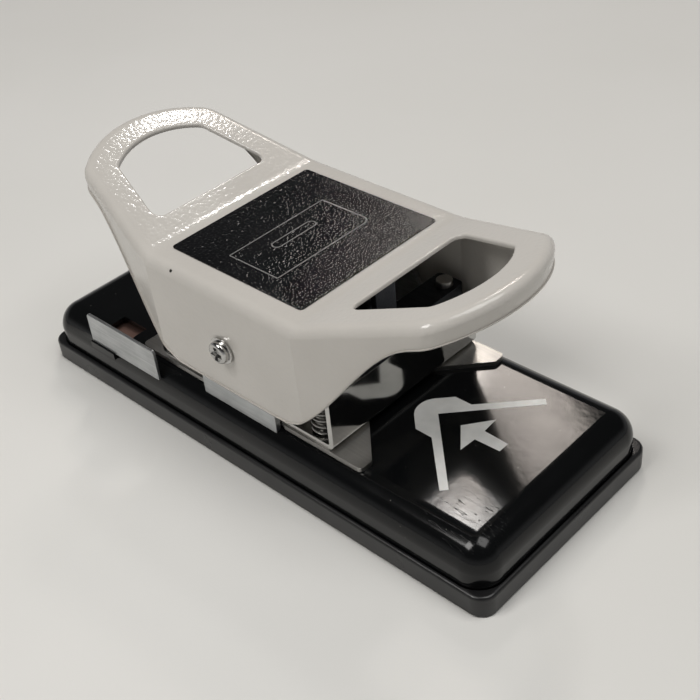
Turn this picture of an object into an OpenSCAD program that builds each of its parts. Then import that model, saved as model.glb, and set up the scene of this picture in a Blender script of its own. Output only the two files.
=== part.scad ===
// Rocker desk machine: a corner cutter at the front end and a slot punch at the rear end.
// +X points to the corner cutting end, +Y to the far side, +Z up.
// The origin is on the desk, under the middle of the base. All sizes are in millimetres.

/* [Base] */
// Length of the chip tray, the longest piece
base_l = 223.2; // [190:0.1:260]
// Width of the chip tray
base_w = 91; // [88:0.5:100]
// Height of the tray's lip above the desk
tray_h = 8.7; // [7:0.1:12]
// Plan radius of the tray's corners
tray_corner_r = 6; // [5:0.5:14]
// Thickness of the tray's floor
tray_floor = 2.5; // [2:0.1:3]
// Height above the desk of the ledge that carries the shell
tray_seat_z = 4.5; // [4:0.1:6]
// Width of that ledge
tray_seat_w = 2; // [1.8:0.1:4]
// Rounding of the tray's top edge
tray_edge_r = 1.4; // [0.3:0.1:1.4]
// Step from the tray's side to the shell's side
shell_inset = 1.6; // [1.6:0.1:3]
// Gap between the shell and the tray's lip
tray_fit = 0.15; // [0.1:0.05:0.4]
// Height of the shell's top above the desk
shell_top = 24.3; // [23.5:0.1:26]
// Sheet of the shell
shell_sheet = 1.5; // [1:0.1:2]
// Radius of the shell's shoulder
shoulder_r = 9.6; // [8.5:0.1:10.5]
// Plan radius of the shell's corners
shell_corner_r = 9.8; // [8:0.1:14]
// Diameter of a rubber foot
foot_d = 10; // [6:0.5:16]
// Height of a rubber foot
foot_h = 1.8; // [1.2:0.1:2.2]
// How far a rubber foot stands out below the tray
foot_proud = 0.5; // [0.3:0.1:0.9]
// Distance of a foot's centre from the tray's sides
foot_inset = 14; // [10:0.5:25]

/* [Rocker handle] */
// Step from the tray's side to the handle's side
handle_inset = 3.3; // [2.5:0.1:5]
// Sheet of the handle
handle_sheet = 1.8; // [1.2:0.1:2.2]
// Height of the handle's flat top
handle_top = 75.2; // [72:0.1:80]
// Distance of the bend line from the middle
bend_x = 35.3; // [33:0.1:38]
// Half the length over which the bend is rounded
bend_blend = 2.5; // [1:0.1:4]
// Rise of the two end loops, degrees
end_slope = 18; // [10:0.1:22]
// Reach of the end loops from the middle
end_reach = 92.7; // [86:0.1:100]
// Radius of the rounded end
end_r = 45; // [40:0.5:60]
// Radius of the end's two corners
end_corner_r = 10.5; // [6:0.5:12]
// Taper of the loop's sides, degrees
side_taper = 14; // [8:0.5:16]
// Rounding of the handle's upper edge
edge_r = 4; // [3:0.1:5]
// Depth of the rim round the end loops
rim_h = 9.2; // [6:0.1:11]
// Height of the skirt's lower edge
skirt_low = 33.1; // [31:0.1:35]
// Half the length of the skirt's level edge
skirt_flat = 25.5; // [20:0.5:30]
// Where the skirt's rising edge runs into the rim
skirt_end = 74.5; // [70:0.5:82]
// Straight edge of the finger hole, from the middle
hole_start = 46; // [44:0.1:54]
// Width of the rail round the finger hole
rail_w = 12.3; // [10:0.1:14]
// Corner radius of the finger hole
hole_corner_r = 3.5; // [2:0.1:7]

/* [Label plate] */
// Length of the label plate along the handle
label_l = 63; // [40:0.5:66]
// Margin from the handle's side to the label plate
label_margin = 9.4; // [5:0.1:20]
// Thickness of the label plate
label_t = 0.4; // [0.2:0.1:0.8]
// Glue film under the label plate
label_film = 0.03; // [0.02:0.01:0.1]
// Corner radius of the label plate
label_corner_r = 1.5; // [0.5:0.1:4]

/* [Pivot] */
// Height of the pivot axis
pivot_z = 51.4; // [49.5:0.1:53]
// Diameter of the pivot shaft
shaft_d = 8; // [7:0.1:9]
// Running clearance of a shaft or post on the radius
run_fit = 0.05; // [0.02:0.01:0.08]
// Wall of a pivot bush
bush_wall = 1.5; // [1:0.1:2]
// Width of the bush flange beyond its barrel
bush_flange_w = 1.6; // [1:0.1:2]
// Thickness of the bush flange
bush_flange_t = 1.5; // [1:0.1:2]
// Thread diameter of a pivot screw
pivot_thread_d = 5; // [4:0.1:5.5]
// Length of a pivot screw inside the shaft
pivot_thread_l = 12; // [8:0.5:16]
// Head diameter of a pivot screw
pivot_head_d = 10; // [8:0.1:12]
// Head height of a pivot screw
pivot_head_h = 3.2; // [2.4:0.1:4]
// Gap between the bracket and the handle's skirts
skirt_gap = 0.7; // [0.5:0.1:1.2]
// Gap between a bush and the handle's skirts
bush_gap = 0.3; // [0.25:0.05:0.45]

/* [Pivot bracket] */
// Sheet of the pivot bracket
bracket_sheet = 2; // [1.5:0.1:2.5]
// Length of the bracket's side walls
bracket_l = 37; // [34:0.5:40]
// Height up to which the side walls keep that length
bracket_shoulder_h = 12; // [8:0.5:14]
// Radius of the ear round the pivot
ear_r = 10; // [8:0.5:11]
// Length of the bracket's web along the base
web_l = 17; // [14:0.5:18]
// Thread diameter of the bracket and die screws
screw_d = 4; // [3:0.1:4.2]
// Slack of those screws in a plain hole, on the diameter
screw_slack = 0.4; // [0.2:0.1:0.6]
// Head diameter of those screws
screw_head_d = 7.5; // [6:0.1:8]
// Head height of those screws
screw_head_h = 2.6; // [2:0.1:3]
// Distance of the inner bracket screws from the middle
bracket_screw_in = 18; // [14:0.5:20]
// Distance of the outer bracket screws from the bracket's wall
bracket_screw_edge = 7; // [6:0.5:10]
// Thickness of the nut bar under the base
nut_bar_t = 4; // [3:0.1:5]

/* [Stops and guide brackets] */
// Thickness of the two stop plates
stop_t = 1.8; // [1.4:0.1:2.2]
// Step from the tray's side to the stop plates' sides
stop_inset = 7.7; // [6.5:0.1:8.2]
// Reach of the stop plates from the middle
stop_reach = 56; // [54:0.1:62]
// Radius of the stop plates' tips
stop_tip_r = 2; // [1:0.1:3]
// Where the two edges of the corner stop would meet, from the middle
notch_x = 23.5; // [22:0.1:25]
// Sheet of the two guide brackets
guide_sheet = 2; // [1.5:0.1:2.2]
// Outer face of a guide bracket's wall, from the middle
wall_x = 43.6; // [43:0.1:46]
// Height of the wall above the stop plate
wall_h = 21.2; // [17:0.1:22]
// Inside radius of the guide bracket's bend
wall_bend_r = 1; // [0.5:0.1:2]
// Gap left beside the plates on the base
plate_gap = 0.5; // [0.3:0.1:0.8]
// Gap between the bracket's web and the plates
web_gap = 1.5; // [1:0.1:2]

/* [Punches and dies] */
// Radius that the corner cutter leaves on the card
corner_r = 6; // [4:0.5:8]
// Back face of the corner punch, from the middle
punch_back = 16; // [15:0.1:17]
// Front face of the corner punch, from the middle
punch_front = 30; // [29:0.1:31]
// Half the width of the corner punch
punch_half_w = 9; // [8:0.1:10]
// Clearance between a punch and its die or guide
punch_fit = 0.05; // [0.03:0.01:0.1]
// Gap from a punch to the plates that it passes
pass_gap = 0.4; // [0.3:0.05:0.6]
// Length of the slot that is punched
slot_l = 14; // [12:0.5:16]
// Width of the slot that is punched
slot_w = 3; // [2.5:0.1:4]
// Distance of the slot punch from the middle
slot_x = 26; // [25:0.1:27]
// Distance of the slot end's card stop from the middle
card_stop_x = 20; // [18.5:0.1:21.5]
// Width of the slot stop's rails beside the card
stop_rail_w = 10.5; // [9.8:0.1:12]
// Depth of the punch screws in the punches
punch_screw_bite = 5; // [4:0.1:5.4]
// Distance of the corner punch's screws from its back face
corner_screw_in = 3.5; // [3:0.1:4]
// Height of the slot punch's head
slot_head_h = 6; // [5:0.1:7]
// How far a cutting edge stands above the card's plane at rest
edge_rise = 2.6; // [2.2:0.1:3]
// Height of the corner punch's guide block
block_h = 10; // [8:0.1:11]
// Height of the slot punch's guide block
slot_block_h = 5.5; // [4.5:0.1:5.8]
// Wall of the punch guide blocks round the punch
block_wall = 5; // [4:0.1:5.5]
// Height of the dies below the base sheet
die_h = 8; // [7:0.1:10]
// Wall of a die's raised pad round the punch
pad_wall = 3.5; // [3:0.1:4]
// Gap between a die's pad and its window in the base
window_fit = 0.2; // [0.1:0.05:0.4]
// Depth of a die's straight cutting land
die_land = 3; // [2:0.1:4]
// Widening of the chip hole below the land
die_relief = 1; // [0.5:0.1:1.5]
// Distance of the inner die screws from the middle, along the base
die_screw_near_x = 14; // [13.5:0.1:14.5]
// Their distance from the middle, across the base
die_screw_near_y = 22; // [20:0.5:24]
// Distance of the outer die screws from the middle, along the base
die_screw_far_x = 24; // [23:0.1:25]
// Their distance from the ends of the dies
die_screw_edge = 3.4; // [3:0.1:4]
// Gap between a die's ends and the rounding of the shoulder
die_gap = 0.25; // [0.2:0.05:0.5]

/* [Crossheads and press brackets] */
// Thickness of a crosshead
head_t = 5.4; // [4.5:0.1:6]
// Step from the guide brackets' sides to a crosshead's sides
head_step = 0.5; // [0:0.1:1.5]
// Outer edge of a crosshead, from the middle
head_front = 39.4; // [39:0.1:40]
// Inner edge of its wide bar, from the middle
head_bar = 28; // [27:0.1:29]
// Inner edge of its tongue, from the middle
head_back = 14.5; // [14:0.1:15]
// Width of its tongue
tongue_w = 28; // [26:0.5:32]
// Corner radius of a crosshead
head_corner_r = 2; // [1:0.1:3]
// Distance of the press brackets from the pivot, the lever of the punches
press_x = 31; // [30.5:0.1:31.5]
// Width of the press bracket strip
press_w = 9.6; // [8:0.1:10]
// Sheet of the press brackets
press_sheet = 2.5; // [2:0.1:3]
// Outer radius of the press bracket's nose
press_r = 5.5; // [5:0.1:5.8]
// Gap between a press bracket and its crosshead at rest
press_gap = 0.45; // [0.4:0.05:0.6]

/* [Springs and posts] */
// Length of a return spring at rest
spring_l = 17.6; // [17:0.1:19]
// Wire of a return spring
wire_d = 1.2; // [0.8:0.1:1.4]
// Gap between a spring and its post
spring_gap = 0.4; // [0.3:0.05:0.8]
// Gap between a spring's end and its seat
spring_seat_gap = 0.3; // [0.2:0.05:0.5]
// Number of turns of a return spring
spring_turns = 6; // [4:1:7]
// Diameter of a guide post
post_d = 6; // [5:0.1:6.5]
// Diameter of a guide post's riveted spigot
spigot_d = 4; // [3:0.1:4.5]
// Distance of the posts from the middle, along the base
post_x = 34.5; // [34:0.1:35]
// Distance of the posts from the sides of the guide brackets
post_edge = 5.5; // [5:0.1:6]
// How far a post stands above its crosshead at rest
post_proud = 2.1; // [1.5:0.1:3]

/* [Side guide] */
// Sheet of the side guide
leaf_t = 1.3; // [1:0.1:1.6]
// Distance of the side guide from the rear end of the tray
guide_inset = 30.6; // [26:0.1:34]
// Length of its upright plate
guide_l = 40.4; // [36:0.1:44]
// Lower edge of its upright plate, below the base top
guide_below = 4.5; // [4:0.1:5]
// Upper edge of its upright plate, above the base top
guide_above = 8.4; // [6:0.1:10]
// Chamfer of the plate's upper corners
guide_chamfer = 0.8; // [0.4:0.1:4]
// Length of the tab under the plate
tab_l = 11.8; // [8:0.1:16]
// Depth of the tab under the plate
tab_h = 1.3; // [0.5:0.1:2]
// Room beside the tab in the shell's slot
tab_room = 2.4; // [1:0.1:4]
// Gap between the plate and the shell
guide_gap = 0.4; // [0.3:0.05:0.6]
// Depth of the leaf's top below the base top
leaf_depth = 2.9; // [2.6:0.1:3.2]
// Step from the rear end of the plate to the leaf
leaf_step = 0.8; // [0.5:0.1:2]
// Width of the leaf
leaf_w = 25.9; // [18:0.1:28]
// Length of the leaf inside the base
leaf_l = 32.5; // [31:0.1:36]
// Gap between the leaf and what it slides in
leaf_gap = 0.25; // [0.2:0.05:0.4]
// Sheet of the leaf's track
track_t = 1.2; // [1:0.1:1.6]
// Travel of the side guide
guide_travel = 10; // [6:0.5:11]
// Diameter of the leaf's stop pin
pin_d = 4; // [3:0.1:5]
// Diameter of the stop pin's head
pin_head_d = 7; // [6:0.1:8]
// Height of the stop pin's head
pin_head_h = 1.2; // [0.8:0.1:1.6]
// Distance of the stop pin from the shell's side
pin_inset = 17.5; // [17:0.1:18]
// Length of the window over the leaf
window_l = 13.6; // [10:0.1:15]
// Shift of that window from the leaf's middle
window_shift = -3.8; // [-5:0.1:2.4]
// Inner edge of that window, from the shell's side
window_in = 14.2; // [11:0.1:14.5]
// Depth of the notch across the shoulder that the window opens into
notch_depth = 7.1; // [6.5:0.1:9]

/* [Hidden] */
$fn = 48;

// Sides of a hull's own rounded children
hull_fn = 32;
// Added to a cut so that it runs through the face
over = 1;
// Holes for those screws, plain and threaded
screw_hole_d = screw_d + screw_slack;
screw_thread_d = screw_d + 2 * run_fit;

// Base
shell_half_l = base_l / 2 - shell_inset;
shell_half_w = base_w / 2 - shell_inset;
shell_under = shell_top - shell_sheet;
shell_plan_r = max(shell_corner_r, shoulder_r + 0.2);
shoulder_steps = 8;

// Levels of the stack on the base
stop_top = shell_top + stop_t;
flange_top = stop_top + guide_sheet;
head_low = flange_top + spring_l;
head_top = head_low + head_t;
press_low = head_top + press_gap;
edge_z = shell_top + edge_rise;
die_low = shell_under - die_h;
post_top = head_top + post_proud;
nut_bar_low = shell_under - nut_bar_t;

// Widths of the nested pivot pieces
handle_half_w = base_w / 2 - handle_inset;
handle_w = 2 * handle_half_w;
skirt_in = handle_half_w - handle_sheet;
bracket_half_w = skirt_in - skirt_gap;
bracket_in = bracket_half_w - bracket_sheet;
bush_out = skirt_in - bush_gap;
bush_d = shaft_d + 2 * run_fit + 2 * bush_wall;
plate_half_w = bracket_in - plate_gap;
stop_half_w = base_w / 2 - stop_inset;
card_half_w = stop_half_w - stop_rail_w;
head_half_w = plate_half_w - head_step;
post_y = plate_half_w - post_edge;
under_half_w = min(plate_half_w, shell_half_w - shoulder_r - die_gap);
die_screw_far_y = under_half_w - die_screw_edge;
bracket_screw_out = bracket_in - bracket_screw_edge;
plate_back = web_l / 2 + web_gap;
// How far the bracket's walls reach down before their feet are fitted to the shoulder
foot_drop = shoulder_r / 2;

// Corner geometry of the handle's outline: end arc, corner arc, tapered side
end_c = end_reach - end_r;
taper_n = [sin(side_taper), cos(side_taper)];
taper_u = [cos(side_taper), -sin(side_taper)];
taper_d = taper_n * [bend_x, handle_half_w] - end_corner_r;
corner_s = end_c * taper_u.x + sqrt(pow(end_r - end_corner_r, 2) - pow(taper_d - end_c * taper_n.x, 2));
corner_c = taper_d * taper_n + corner_s * taper_u;
corner_a = atan2(corner_c.y, corner_c.x - end_c);
// Steps along each stretch of a quarter of the outline, and round the edge
arc_steps = 6;
corner_steps = 5;
taper_steps = 9;
middle_steps = 6;
edge_steps = 4;
inner_edge_steps = 3;

// Side guide
guide_rear = base_l / 2 - guide_inset;
guide_low = shell_top - guide_below;
shoulder_rise = shoulder_r - guide_below;
shoulder_back = shoulder_r - sqrt(pow(shoulder_r, 2) - pow(shoulder_rise, 2));
plate_face_y = -shell_half_w + shoulder_back - guide_gap;
leaf_top = shell_top - leaf_depth;
leaf_low = leaf_top - leaf_t;
leaf_x = -guide_rear + leaf_step;
leaf_end_y = -shell_half_w + leaf_l;
track_top = leaf_low - leaf_gap;
track_out_y = -shell_half_w + shoulder_r + 1;
pin_x = leaf_x + leaf_w / 2;
pin_y = -shell_half_w + pin_inset;
window_x = leaf_x + (leaf_w - window_l) / 2 + window_shift;

// Colours of the finishes
cream = "#c8c3b9";
black = "#16171a";
dark_plastic = "#38383a";
rubber = "#222222";
steel = "#8d8b88";
zinc = "#b4b4b2";
tool_steel = "#6f7072";
bronze = "#a8814c";
label_black = "#1c1d1f";

// Points of an arc about c from angle a0 to a1
function arc(c, r, a0, a1, n) =
    [for (i = [0:n]) c + r * [cos(a0 + (a1 - a0) * i / n), sin(a0 + (a1 - a0) * i / n)]];

// A list from one index to another
function part(list, from, to) = [for (i = [from:to]) list[i]];

// Point a share t of the way from a to b
function between(a, b, t) = a + (b - a) * t;

// A solid block with rounded plan corners and a rounded upper edge
module rounded_slab(half_l, half_w, r, z0, z1, edge, steps = 4) {
    profile = concat([[0, z0], [r, z0]], arc([r - edge, z1 - edge], edge, 0, 90, steps), [[0, z1]]);
    hull()
        for (sx = [-1, 1], sy = [-1, 1])
            translate([sx * (half_l - r), sy * (half_w - r), 0])
                rotate_extrude($fn = hull_fn) polygon(profile);
}

// A rectangle with rounded corners, from corner a to corner b
module rounded_rect(a, b, r) {
    translate([a.x + r, a.y]) square([b.x - a.x - 2 * r, b.y - a.y]);
    translate([a.x, a.y + r]) square([b.x - a.x, b.y - a.y - 2 * r]);
    for (x = [a.x + r, b.x - r], y = [a.y + r, b.y - r])
        translate([x, y]) circle(r);
}

// A box between two corners
module box(a, b) {
    translate(a) cube(b - a);
}

// Repeats a child on both sides of the base
module both_sides() {
    for (s = [-1, 1]) mirror([0, s < 0 ? 1 : 0, 0]) children();
}

// Turns what is built for the front end round to the rear end
module at_rear() {
    mirror([1, 0, 0]) children();
}

// A round hole or pin along Z
module rod(d, z0, z1) {
    translate([0, 0, z0]) cylinder(h = z1 - z0, d = d);
}

// A pan head screw along Z: underside of the head at z, shank of length l below it
module pan_screw(d, head_d, head_h, z, l) {
    dome = head_h / 2;
    translate([0, 0, z])
        rotate_extrude()
            polygon(concat(
                [[0, -l], [d / 2, -l], [d / 2, 0], [head_d / 2, 0]],
                arc([head_d / 2 - dome, head_h - dome], dome, 0, 90, 5),
                [[0, head_h]]));
}

// Chip tray

module chip_tray() {
    half_l = base_l / 2;
    half_w = base_w / 2;
    inner_l = shell_half_l - tray_seat_w;
    inner_w = shell_half_w - tray_seat_w;
    color(dark_plastic)
        difference() {
            rounded_slab(half_l, half_w, tray_corner_r, foot_proud, tray_h, tray_edge_r);
            rounded_slab(shell_half_l + tray_fit, shell_half_w + tray_fit, shell_plan_r + tray_fit,
                tray_seat_z, tray_h + over, over / 4);
            rounded_slab(inner_l, inner_w, shell_plan_r,
                foot_proud + tray_floor, tray_seat_z + over, over / 4);
            foot_places() rod(foot_d, foot_proud - over, foot_h);
        }
}

module foot_places() {
    for (sx = [-1, 1], sy = [-1, 1])
        translate([sx * (base_l / 2 - foot_inset), sy * (base_w / 2 - foot_inset), 0]) children();
}

module rubber_feet() {
    color(rubber) foot_places() rod(foot_d, 0, foot_h);
}

// Base shell

// The pressed cover before it is hollowed
module shell_form() {
    rounded_slab(shell_half_l, shell_half_w, shell_plan_r, tray_seat_z, shell_top, shoulder_r,
        shoulder_steps);
}

module base_shell() {
    inner_edge = shoulder_r - shell_sheet;
    color(black)
        difference() {
            shell_form();
            rounded_slab(shell_half_l - shell_sheet, shell_half_w - shell_sheet,
                shell_plan_r - shell_sheet, tray_seat_z - over, shell_under, inner_edge, shoulder_steps);
            die_window(corner_pad());
            at_rear() die_window(slot_pad());
            bracket_screw_places() rod(screw_hole_d, shell_under - over, shell_top + over);
            die_screw_places() rod(screw_hole_d, shell_under - over, shell_top + over);
            at_rear() die_screw_places() rod(screw_hole_d, shell_under - over, shell_top + over);
            side_notch();
            leaf_window();
        }
}

// Opening in the top sheet round a die's pad
module die_window(pad) {
    fit = [window_fit, window_fit, 0];
    box(concat(pad[0], shell_under - over) - fit, concat(pad[1], shell_top + over) + fit);
}

// Notch across the shell's shoulder for the leaf, with a lower step for the tab of the side guide
module side_notch() {
    y0 = -shell_half_w - over;
    box([leaf_x - leaf_gap, y0, leaf_low - leaf_gap],
        [leaf_x + leaf_w + leaf_gap, -shell_half_w + notch_depth, shell_top + over]);
    box([-guide_rear - leaf_gap, y0, guide_low - tab_h - over],
        [-guide_rear + tab_l + tab_room, -shell_half_w + shoulder_r, leaf_low]);
}

// Window in the top that opens into the notch and shows the leaf
module leaf_window() {
    box([window_x, -shell_half_w + notch_depth - over, leaf_top],
        [window_x + window_l, -shell_half_w + window_in, shell_top + over]);
}

// Pivot bracket

module pivot_bracket() {
    color(zinc)
        difference() {
            union() {
                difference() {
                    both_sides() bracket_wall();
                    shell_form();
                }
                box([-web_l / 2, -bracket_in, shell_top],
                    [web_l / 2, bracket_in, shell_top + bracket_sheet]);
            }
            translate([0, 0, pivot_z]) rotate([90, 0, 0])
                cylinder(h = 2 * bracket_half_w + 2 * over, d = bush_d, center = true);
            bracket_screw_places() rod(screw_hole_d, shell_top - over, shell_top + bracket_sheet + over);
        }
}

// One side wall: a broad foot on the shell's shoulder that runs up into a round ear
module bracket_wall() {
    translate([0, bracket_half_w, 0]) rotate([90, 0, 0])
        linear_extrude(bracket_sheet)
            hull() {
                translate([-bracket_l / 2, shell_top - foot_drop])
                    square([bracket_l, foot_drop + bracket_shoulder_h]);
                translate([0, pivot_z]) circle(ear_r, $fn = hull_fn);
            }
}

module bracket_screw_places() {
    for (y = [bracket_screw_in, bracket_screw_out], s = [-1, 1])
        translate([0, s * y, 0]) children();
}

module bracket_nut_bar() {
    half_l = web_l / 2 - plate_gap;
    color(steel)
        difference() {
            box([-half_l, -under_half_w, nut_bar_low], [half_l, under_half_w, shell_under]);
            bracket_screw_places() rod(screw_thread_d, nut_bar_low - over, shell_under + over);
        }
}

module bracket_screws() {
    seat = shell_top + bracket_sheet;
    color(zinc)
        bracket_screw_places() pan_screw(screw_d, screw_head_d, screw_head_h, seat, seat - nut_bar_low);
}

// Pivot

module pivot_bushes() {
    bore_r = shaft_d / 2 + run_fit;
    flange_r = bush_d / 2 + bush_flange_w;
    flange_y = bracket_in - bush_flange_t;
    color(bronze)
        both_sides()
            translate([0, 0, pivot_z]) rotate([-90, 0, 0])
                rotate_extrude()
                    polygon([
                        [bore_r, flange_y], [flange_r, flange_y], [flange_r, bracket_in],
                        [bush_d / 2, bracket_in], [bush_d / 2, bush_out], [bore_r, bush_out]]);
}

module pivot_shaft() {
    color(steel)
        translate([0, 0, pivot_z]) rotate([90, 0, 0])
            difference() {
                cylinder(h = 2 * skirt_in, d = shaft_d, center = true);
                both_ends(skirt_in - pivot_thread_l - over)
                    rod(pivot_thread_d + 2 * run_fit, 0, pivot_thread_l + 2 * over);
            }
}

// Repeats a child at both ends of the Z axis, from height z outwards
module both_ends(z) {
    for (s = [0, 1]) mirror([0, 0, s]) translate([0, 0, z]) children();
}

module pivot_screws() {
    color(zinc)
        translate([0, 0, pivot_z]) rotate([90, 0, 0])
            both_ends(handle_half_w)
                pan_screw(pivot_thread_d, pivot_head_d, pivot_head_h, 0, handle_sheet + pivot_thread_l);
}

// Rocker handle: a lofted shell with two finger holes

// Height of the upper face along the handle, level in the middle and rising past a soft bend
function top_z(x) =
    let (
        u = abs(x) - bend_x,
        rise = u < -bend_blend ? 0 : u > bend_blend ? u : pow(u + bend_blend, 2) / (4 * bend_blend)
    )
    handle_top + tan(end_slope) * rise;

// Height of the lower edge: level skirt, rising sweep, then the rim of the loop
function low_z(x) =
    let (
        a = abs(x),
        run = skirt_end - skirt_flat,
        t = (a - skirt_flat) / run,
        rim = top_z(skirt_end) - rim_h
    )
    a <= skirt_flat ? skirt_low
        : a >= skirt_end ? top_z(a) - rim_h
        : skirt_low + (rim - skirt_low) * (3 * t * t - 2 * t * t * t)
            + run * tan(end_slope) * (t * t * t - t * t);

// A quarter of the plan outline, moved inwards by d, from the front end to the middle
function quarter(d) =
    let (
        arc_end = arc([end_c, 0], end_r - d, 0, corner_a, arc_steps),
        arc_corner = arc(corner_c, end_corner_r - d, corner_a, 90 - side_taper, corner_steps),
        start = arc_corner[corner_steps],
        bend = [bend_x - d * tan(side_taper / 2), handle_half_w - d],
        rise = bend + (bend_x + bend_blend - bend.x) / taper_u.x * taper_u,
        flat = [bend_x - bend_blend, handle_half_w - d],
        middle = [0, handle_half_w - d]
    )
    concat(
        arc_end,
        part(arc_corner, 1, corner_steps),
        [for (i = [1:taper_steps]) between(start, rise, i / taper_steps)],
        [bend],
        [for (i = [0:middle_steps]) between(flat, middle, i / middle_steps)]);

// The whole outline, from the front end round the far side to the rear end and back
function outline(d) =
    let (q = quarter(d), n = len(q) - 1)
    concat(
        q,
        [for (i = [n - 1:-1:0]) [-q[i].x, q[i].y]],
        [for (i = [1:n]) [-q[i].x, -q[i].y]],
        [for (i = [n - 1:-1:1]) [q[i].x, -q[i].y]]);

// One ring of the upper edge, moved in by d and lying drop below the upper face
function edge_ring(d, drop) = [for (p = outline(d)) [p.x, p.y, top_z(p.x) - drop]];

// The ring of the lower edge, moved in by d
function low_ring(d) = [for (p = outline(d)) [p.x, p.y, low_z(p.x)]];

// Rings of a rounded edge of radius r under a face that lies depth below the upper face
function round_rings(r, depth, steps, from, step) =
    [for (i = [from:step:steps - from])
        let (a = 90 * i / steps)
        edge_ring(edge_r - r * sin(a), depth + r * (1 - cos(a)))];

// Faces of one band of triangles between ring j and ring j + 1 of n points
function band(j, n) =
    [for (i = [0:n - 1], half = [0, 1])
        let (a = j * n + i, b = j * n + (i + 1) % n)
        half == 0 ? [a, b, a + n] : [b, b + n, a + n]];

// Faces across a ring of n points that starts at index s and is even about the long axis
function cap(s, n, up) =
    [for (i = [0:n / 2 - 1], half = [0, 1])
        let (
            a = s + i,
            b = s + i + 1,
            c = s + (n - i - 1) % n,
            d = s + (n - i) % n,
            f = half == 0 ? [a, c, b] : [a, d, c]
        )
        if (half == 0 ? b != c : a != d) up ? f : [f[2], f[1], f[0]]];

module handle_form() {
    inner_r = edge_r - handle_sheet;
    rings = concat(
        round_rings(edge_r, 0, edge_steps, 0, 1),
        [low_ring(0), low_ring(handle_sheet)],
        round_rings(inner_r, handle_sheet, inner_edge_steps, inner_edge_steps, -1));
    n = len(rings[0]);
    m = len(rings);
    polyhedron(
        points = [for (r = rings) each r],
        faces = concat(
            cap(0, n, true),
            [for (j = [0:m - 2]) each band(j, n)],
            cap((m - 1) * n, n, false)));
}

// Finger hole: the outline moved in by the rail's width, cut off straight at its inner end
module finger_hole() {
    linear_extrude(top_z(end_reach) + over)
        offset(r = hole_corner_r) offset(delta = -hole_corner_r)
            intersection() {
                offset(delta = -rail_w) polygon(outline(0));
                translate([hole_start, -handle_half_w]) square([end_reach, handle_w]);
            }
}

module handle_shell() {
    color(cream)
        difference() {
            handle_form();
            finger_hole();
            at_rear() finger_hole();
            translate([0, 0, pivot_z]) rotate([90, 0, 0])
                cylinder(h = handle_w + 2 * over, d = pivot_thread_d + 2 * run_fit, center = true);
        }
}

module label_plate() {
    half = [label_l / 2, handle_half_w - label_margin];
    color(label_black)
        translate([0, 0, handle_top + label_film])
            linear_extrude(label_t) rounded_rect(-half, half, label_corner_r);
}

// Press bracket: a U strip under the handle whose round nose drives the crosshead
module press_bracket() {
    under = handle_top - handle_sheet;
    nose_z = press_low + press_r;
    inner_r = press_r - press_sheet;
    color(zinc)
        translate([press_x, press_w / 2, 0]) rotate([90, 0, 0])
            linear_extrude(press_w)
                difference() {
                    union() {
                        translate([0, nose_z]) circle(press_r);
                        translate([-press_r, nose_z]) square([2 * press_r, under - nose_z]);
                    }
                    translate([0, nose_z]) circle(inner_r);
                    translate([-inner_r, nose_z]) square([2 * inner_r, under - nose_z + over]);
                }
}

module front_press_bracket() press_bracket();
module rear_press_bracket() at_rear() press_bracket();

// Stop plates on the base

// Outline common to both stop plates: narrow between the bracket's walls, wide beyond
module stop_blank() {
    wide_x = bracket_l / 2 + plate_gap;
    translate([plate_back, -plate_half_w]) square([wide_x - plate_back + over, 2 * plate_half_w]);
    translate([wide_x, -stop_half_w]) square([stop_reach - wide_x, 2 * stop_half_w]);
}

// The card's corner against the stop, grown towards the card by c
module card_corner(c) {
    centre = [notch_x + corner_r * sqrt(2), 0];
    touch = (corner_r - c) / sqrt(2);
    reach = stop_reach;
    translate(centre) {
        circle(corner_r - c);
        polygon([
            [-touch, touch], [reach - touch, reach + touch],
            [reach - touch, -reach - touch], [-touch, -touch]]);
    }
}

module corner_stop_plate() {
    color(steel)
        translate([0, 0, shell_top])
            difference() {
                linear_extrude(stop_t)
                    offset(r = stop_tip_r) offset(delta = -stop_tip_r)
                        difference() {
                            stop_blank();
                            polygon([
                                [notch_x, 0], [stop_reach + over, stop_reach + over - notch_x],
                                [stop_reach + over, -stop_reach - over + notch_x]]);
                        }
                translate([0, 0, -over]) linear_extrude(stop_t + 2 * over) punch_blank(pass_gap);
                stack_holes(stop_t);
            }
}

module slot_stop_plate() {
    color(steel)
        at_rear()
            translate([0, 0, shell_top])
                difference() {
                    linear_extrude(stop_t)
                        offset(r = stop_tip_r) offset(delta = -stop_tip_r)
                            difference() {
                                stop_blank();
                                translate([card_stop_x, -card_half_w]) square([stop_reach, 2 * card_half_w]);
                            }
                    stack_holes(stop_t);
                }
}

// Holes for the die screws and the posts' spigots through a plate of thickness t at z = 0
module stack_holes(t) {
    die_screw_places() rod(screw_hole_d, -over, t + over);
    post_places() rod(spigot_d + 2 * run_fit, -over, t + over);
}

module die_screw_places() {
    for (p = [[die_screw_near_x, die_screw_near_y], [die_screw_far_x, die_screw_far_y]], s = [-1, 1])
        translate([p.x, s * p.y, 0]) children();
}

module post_places() {
    for (s = [-1, 1]) translate([post_x, s * post_y, 0]) children();
}

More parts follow.
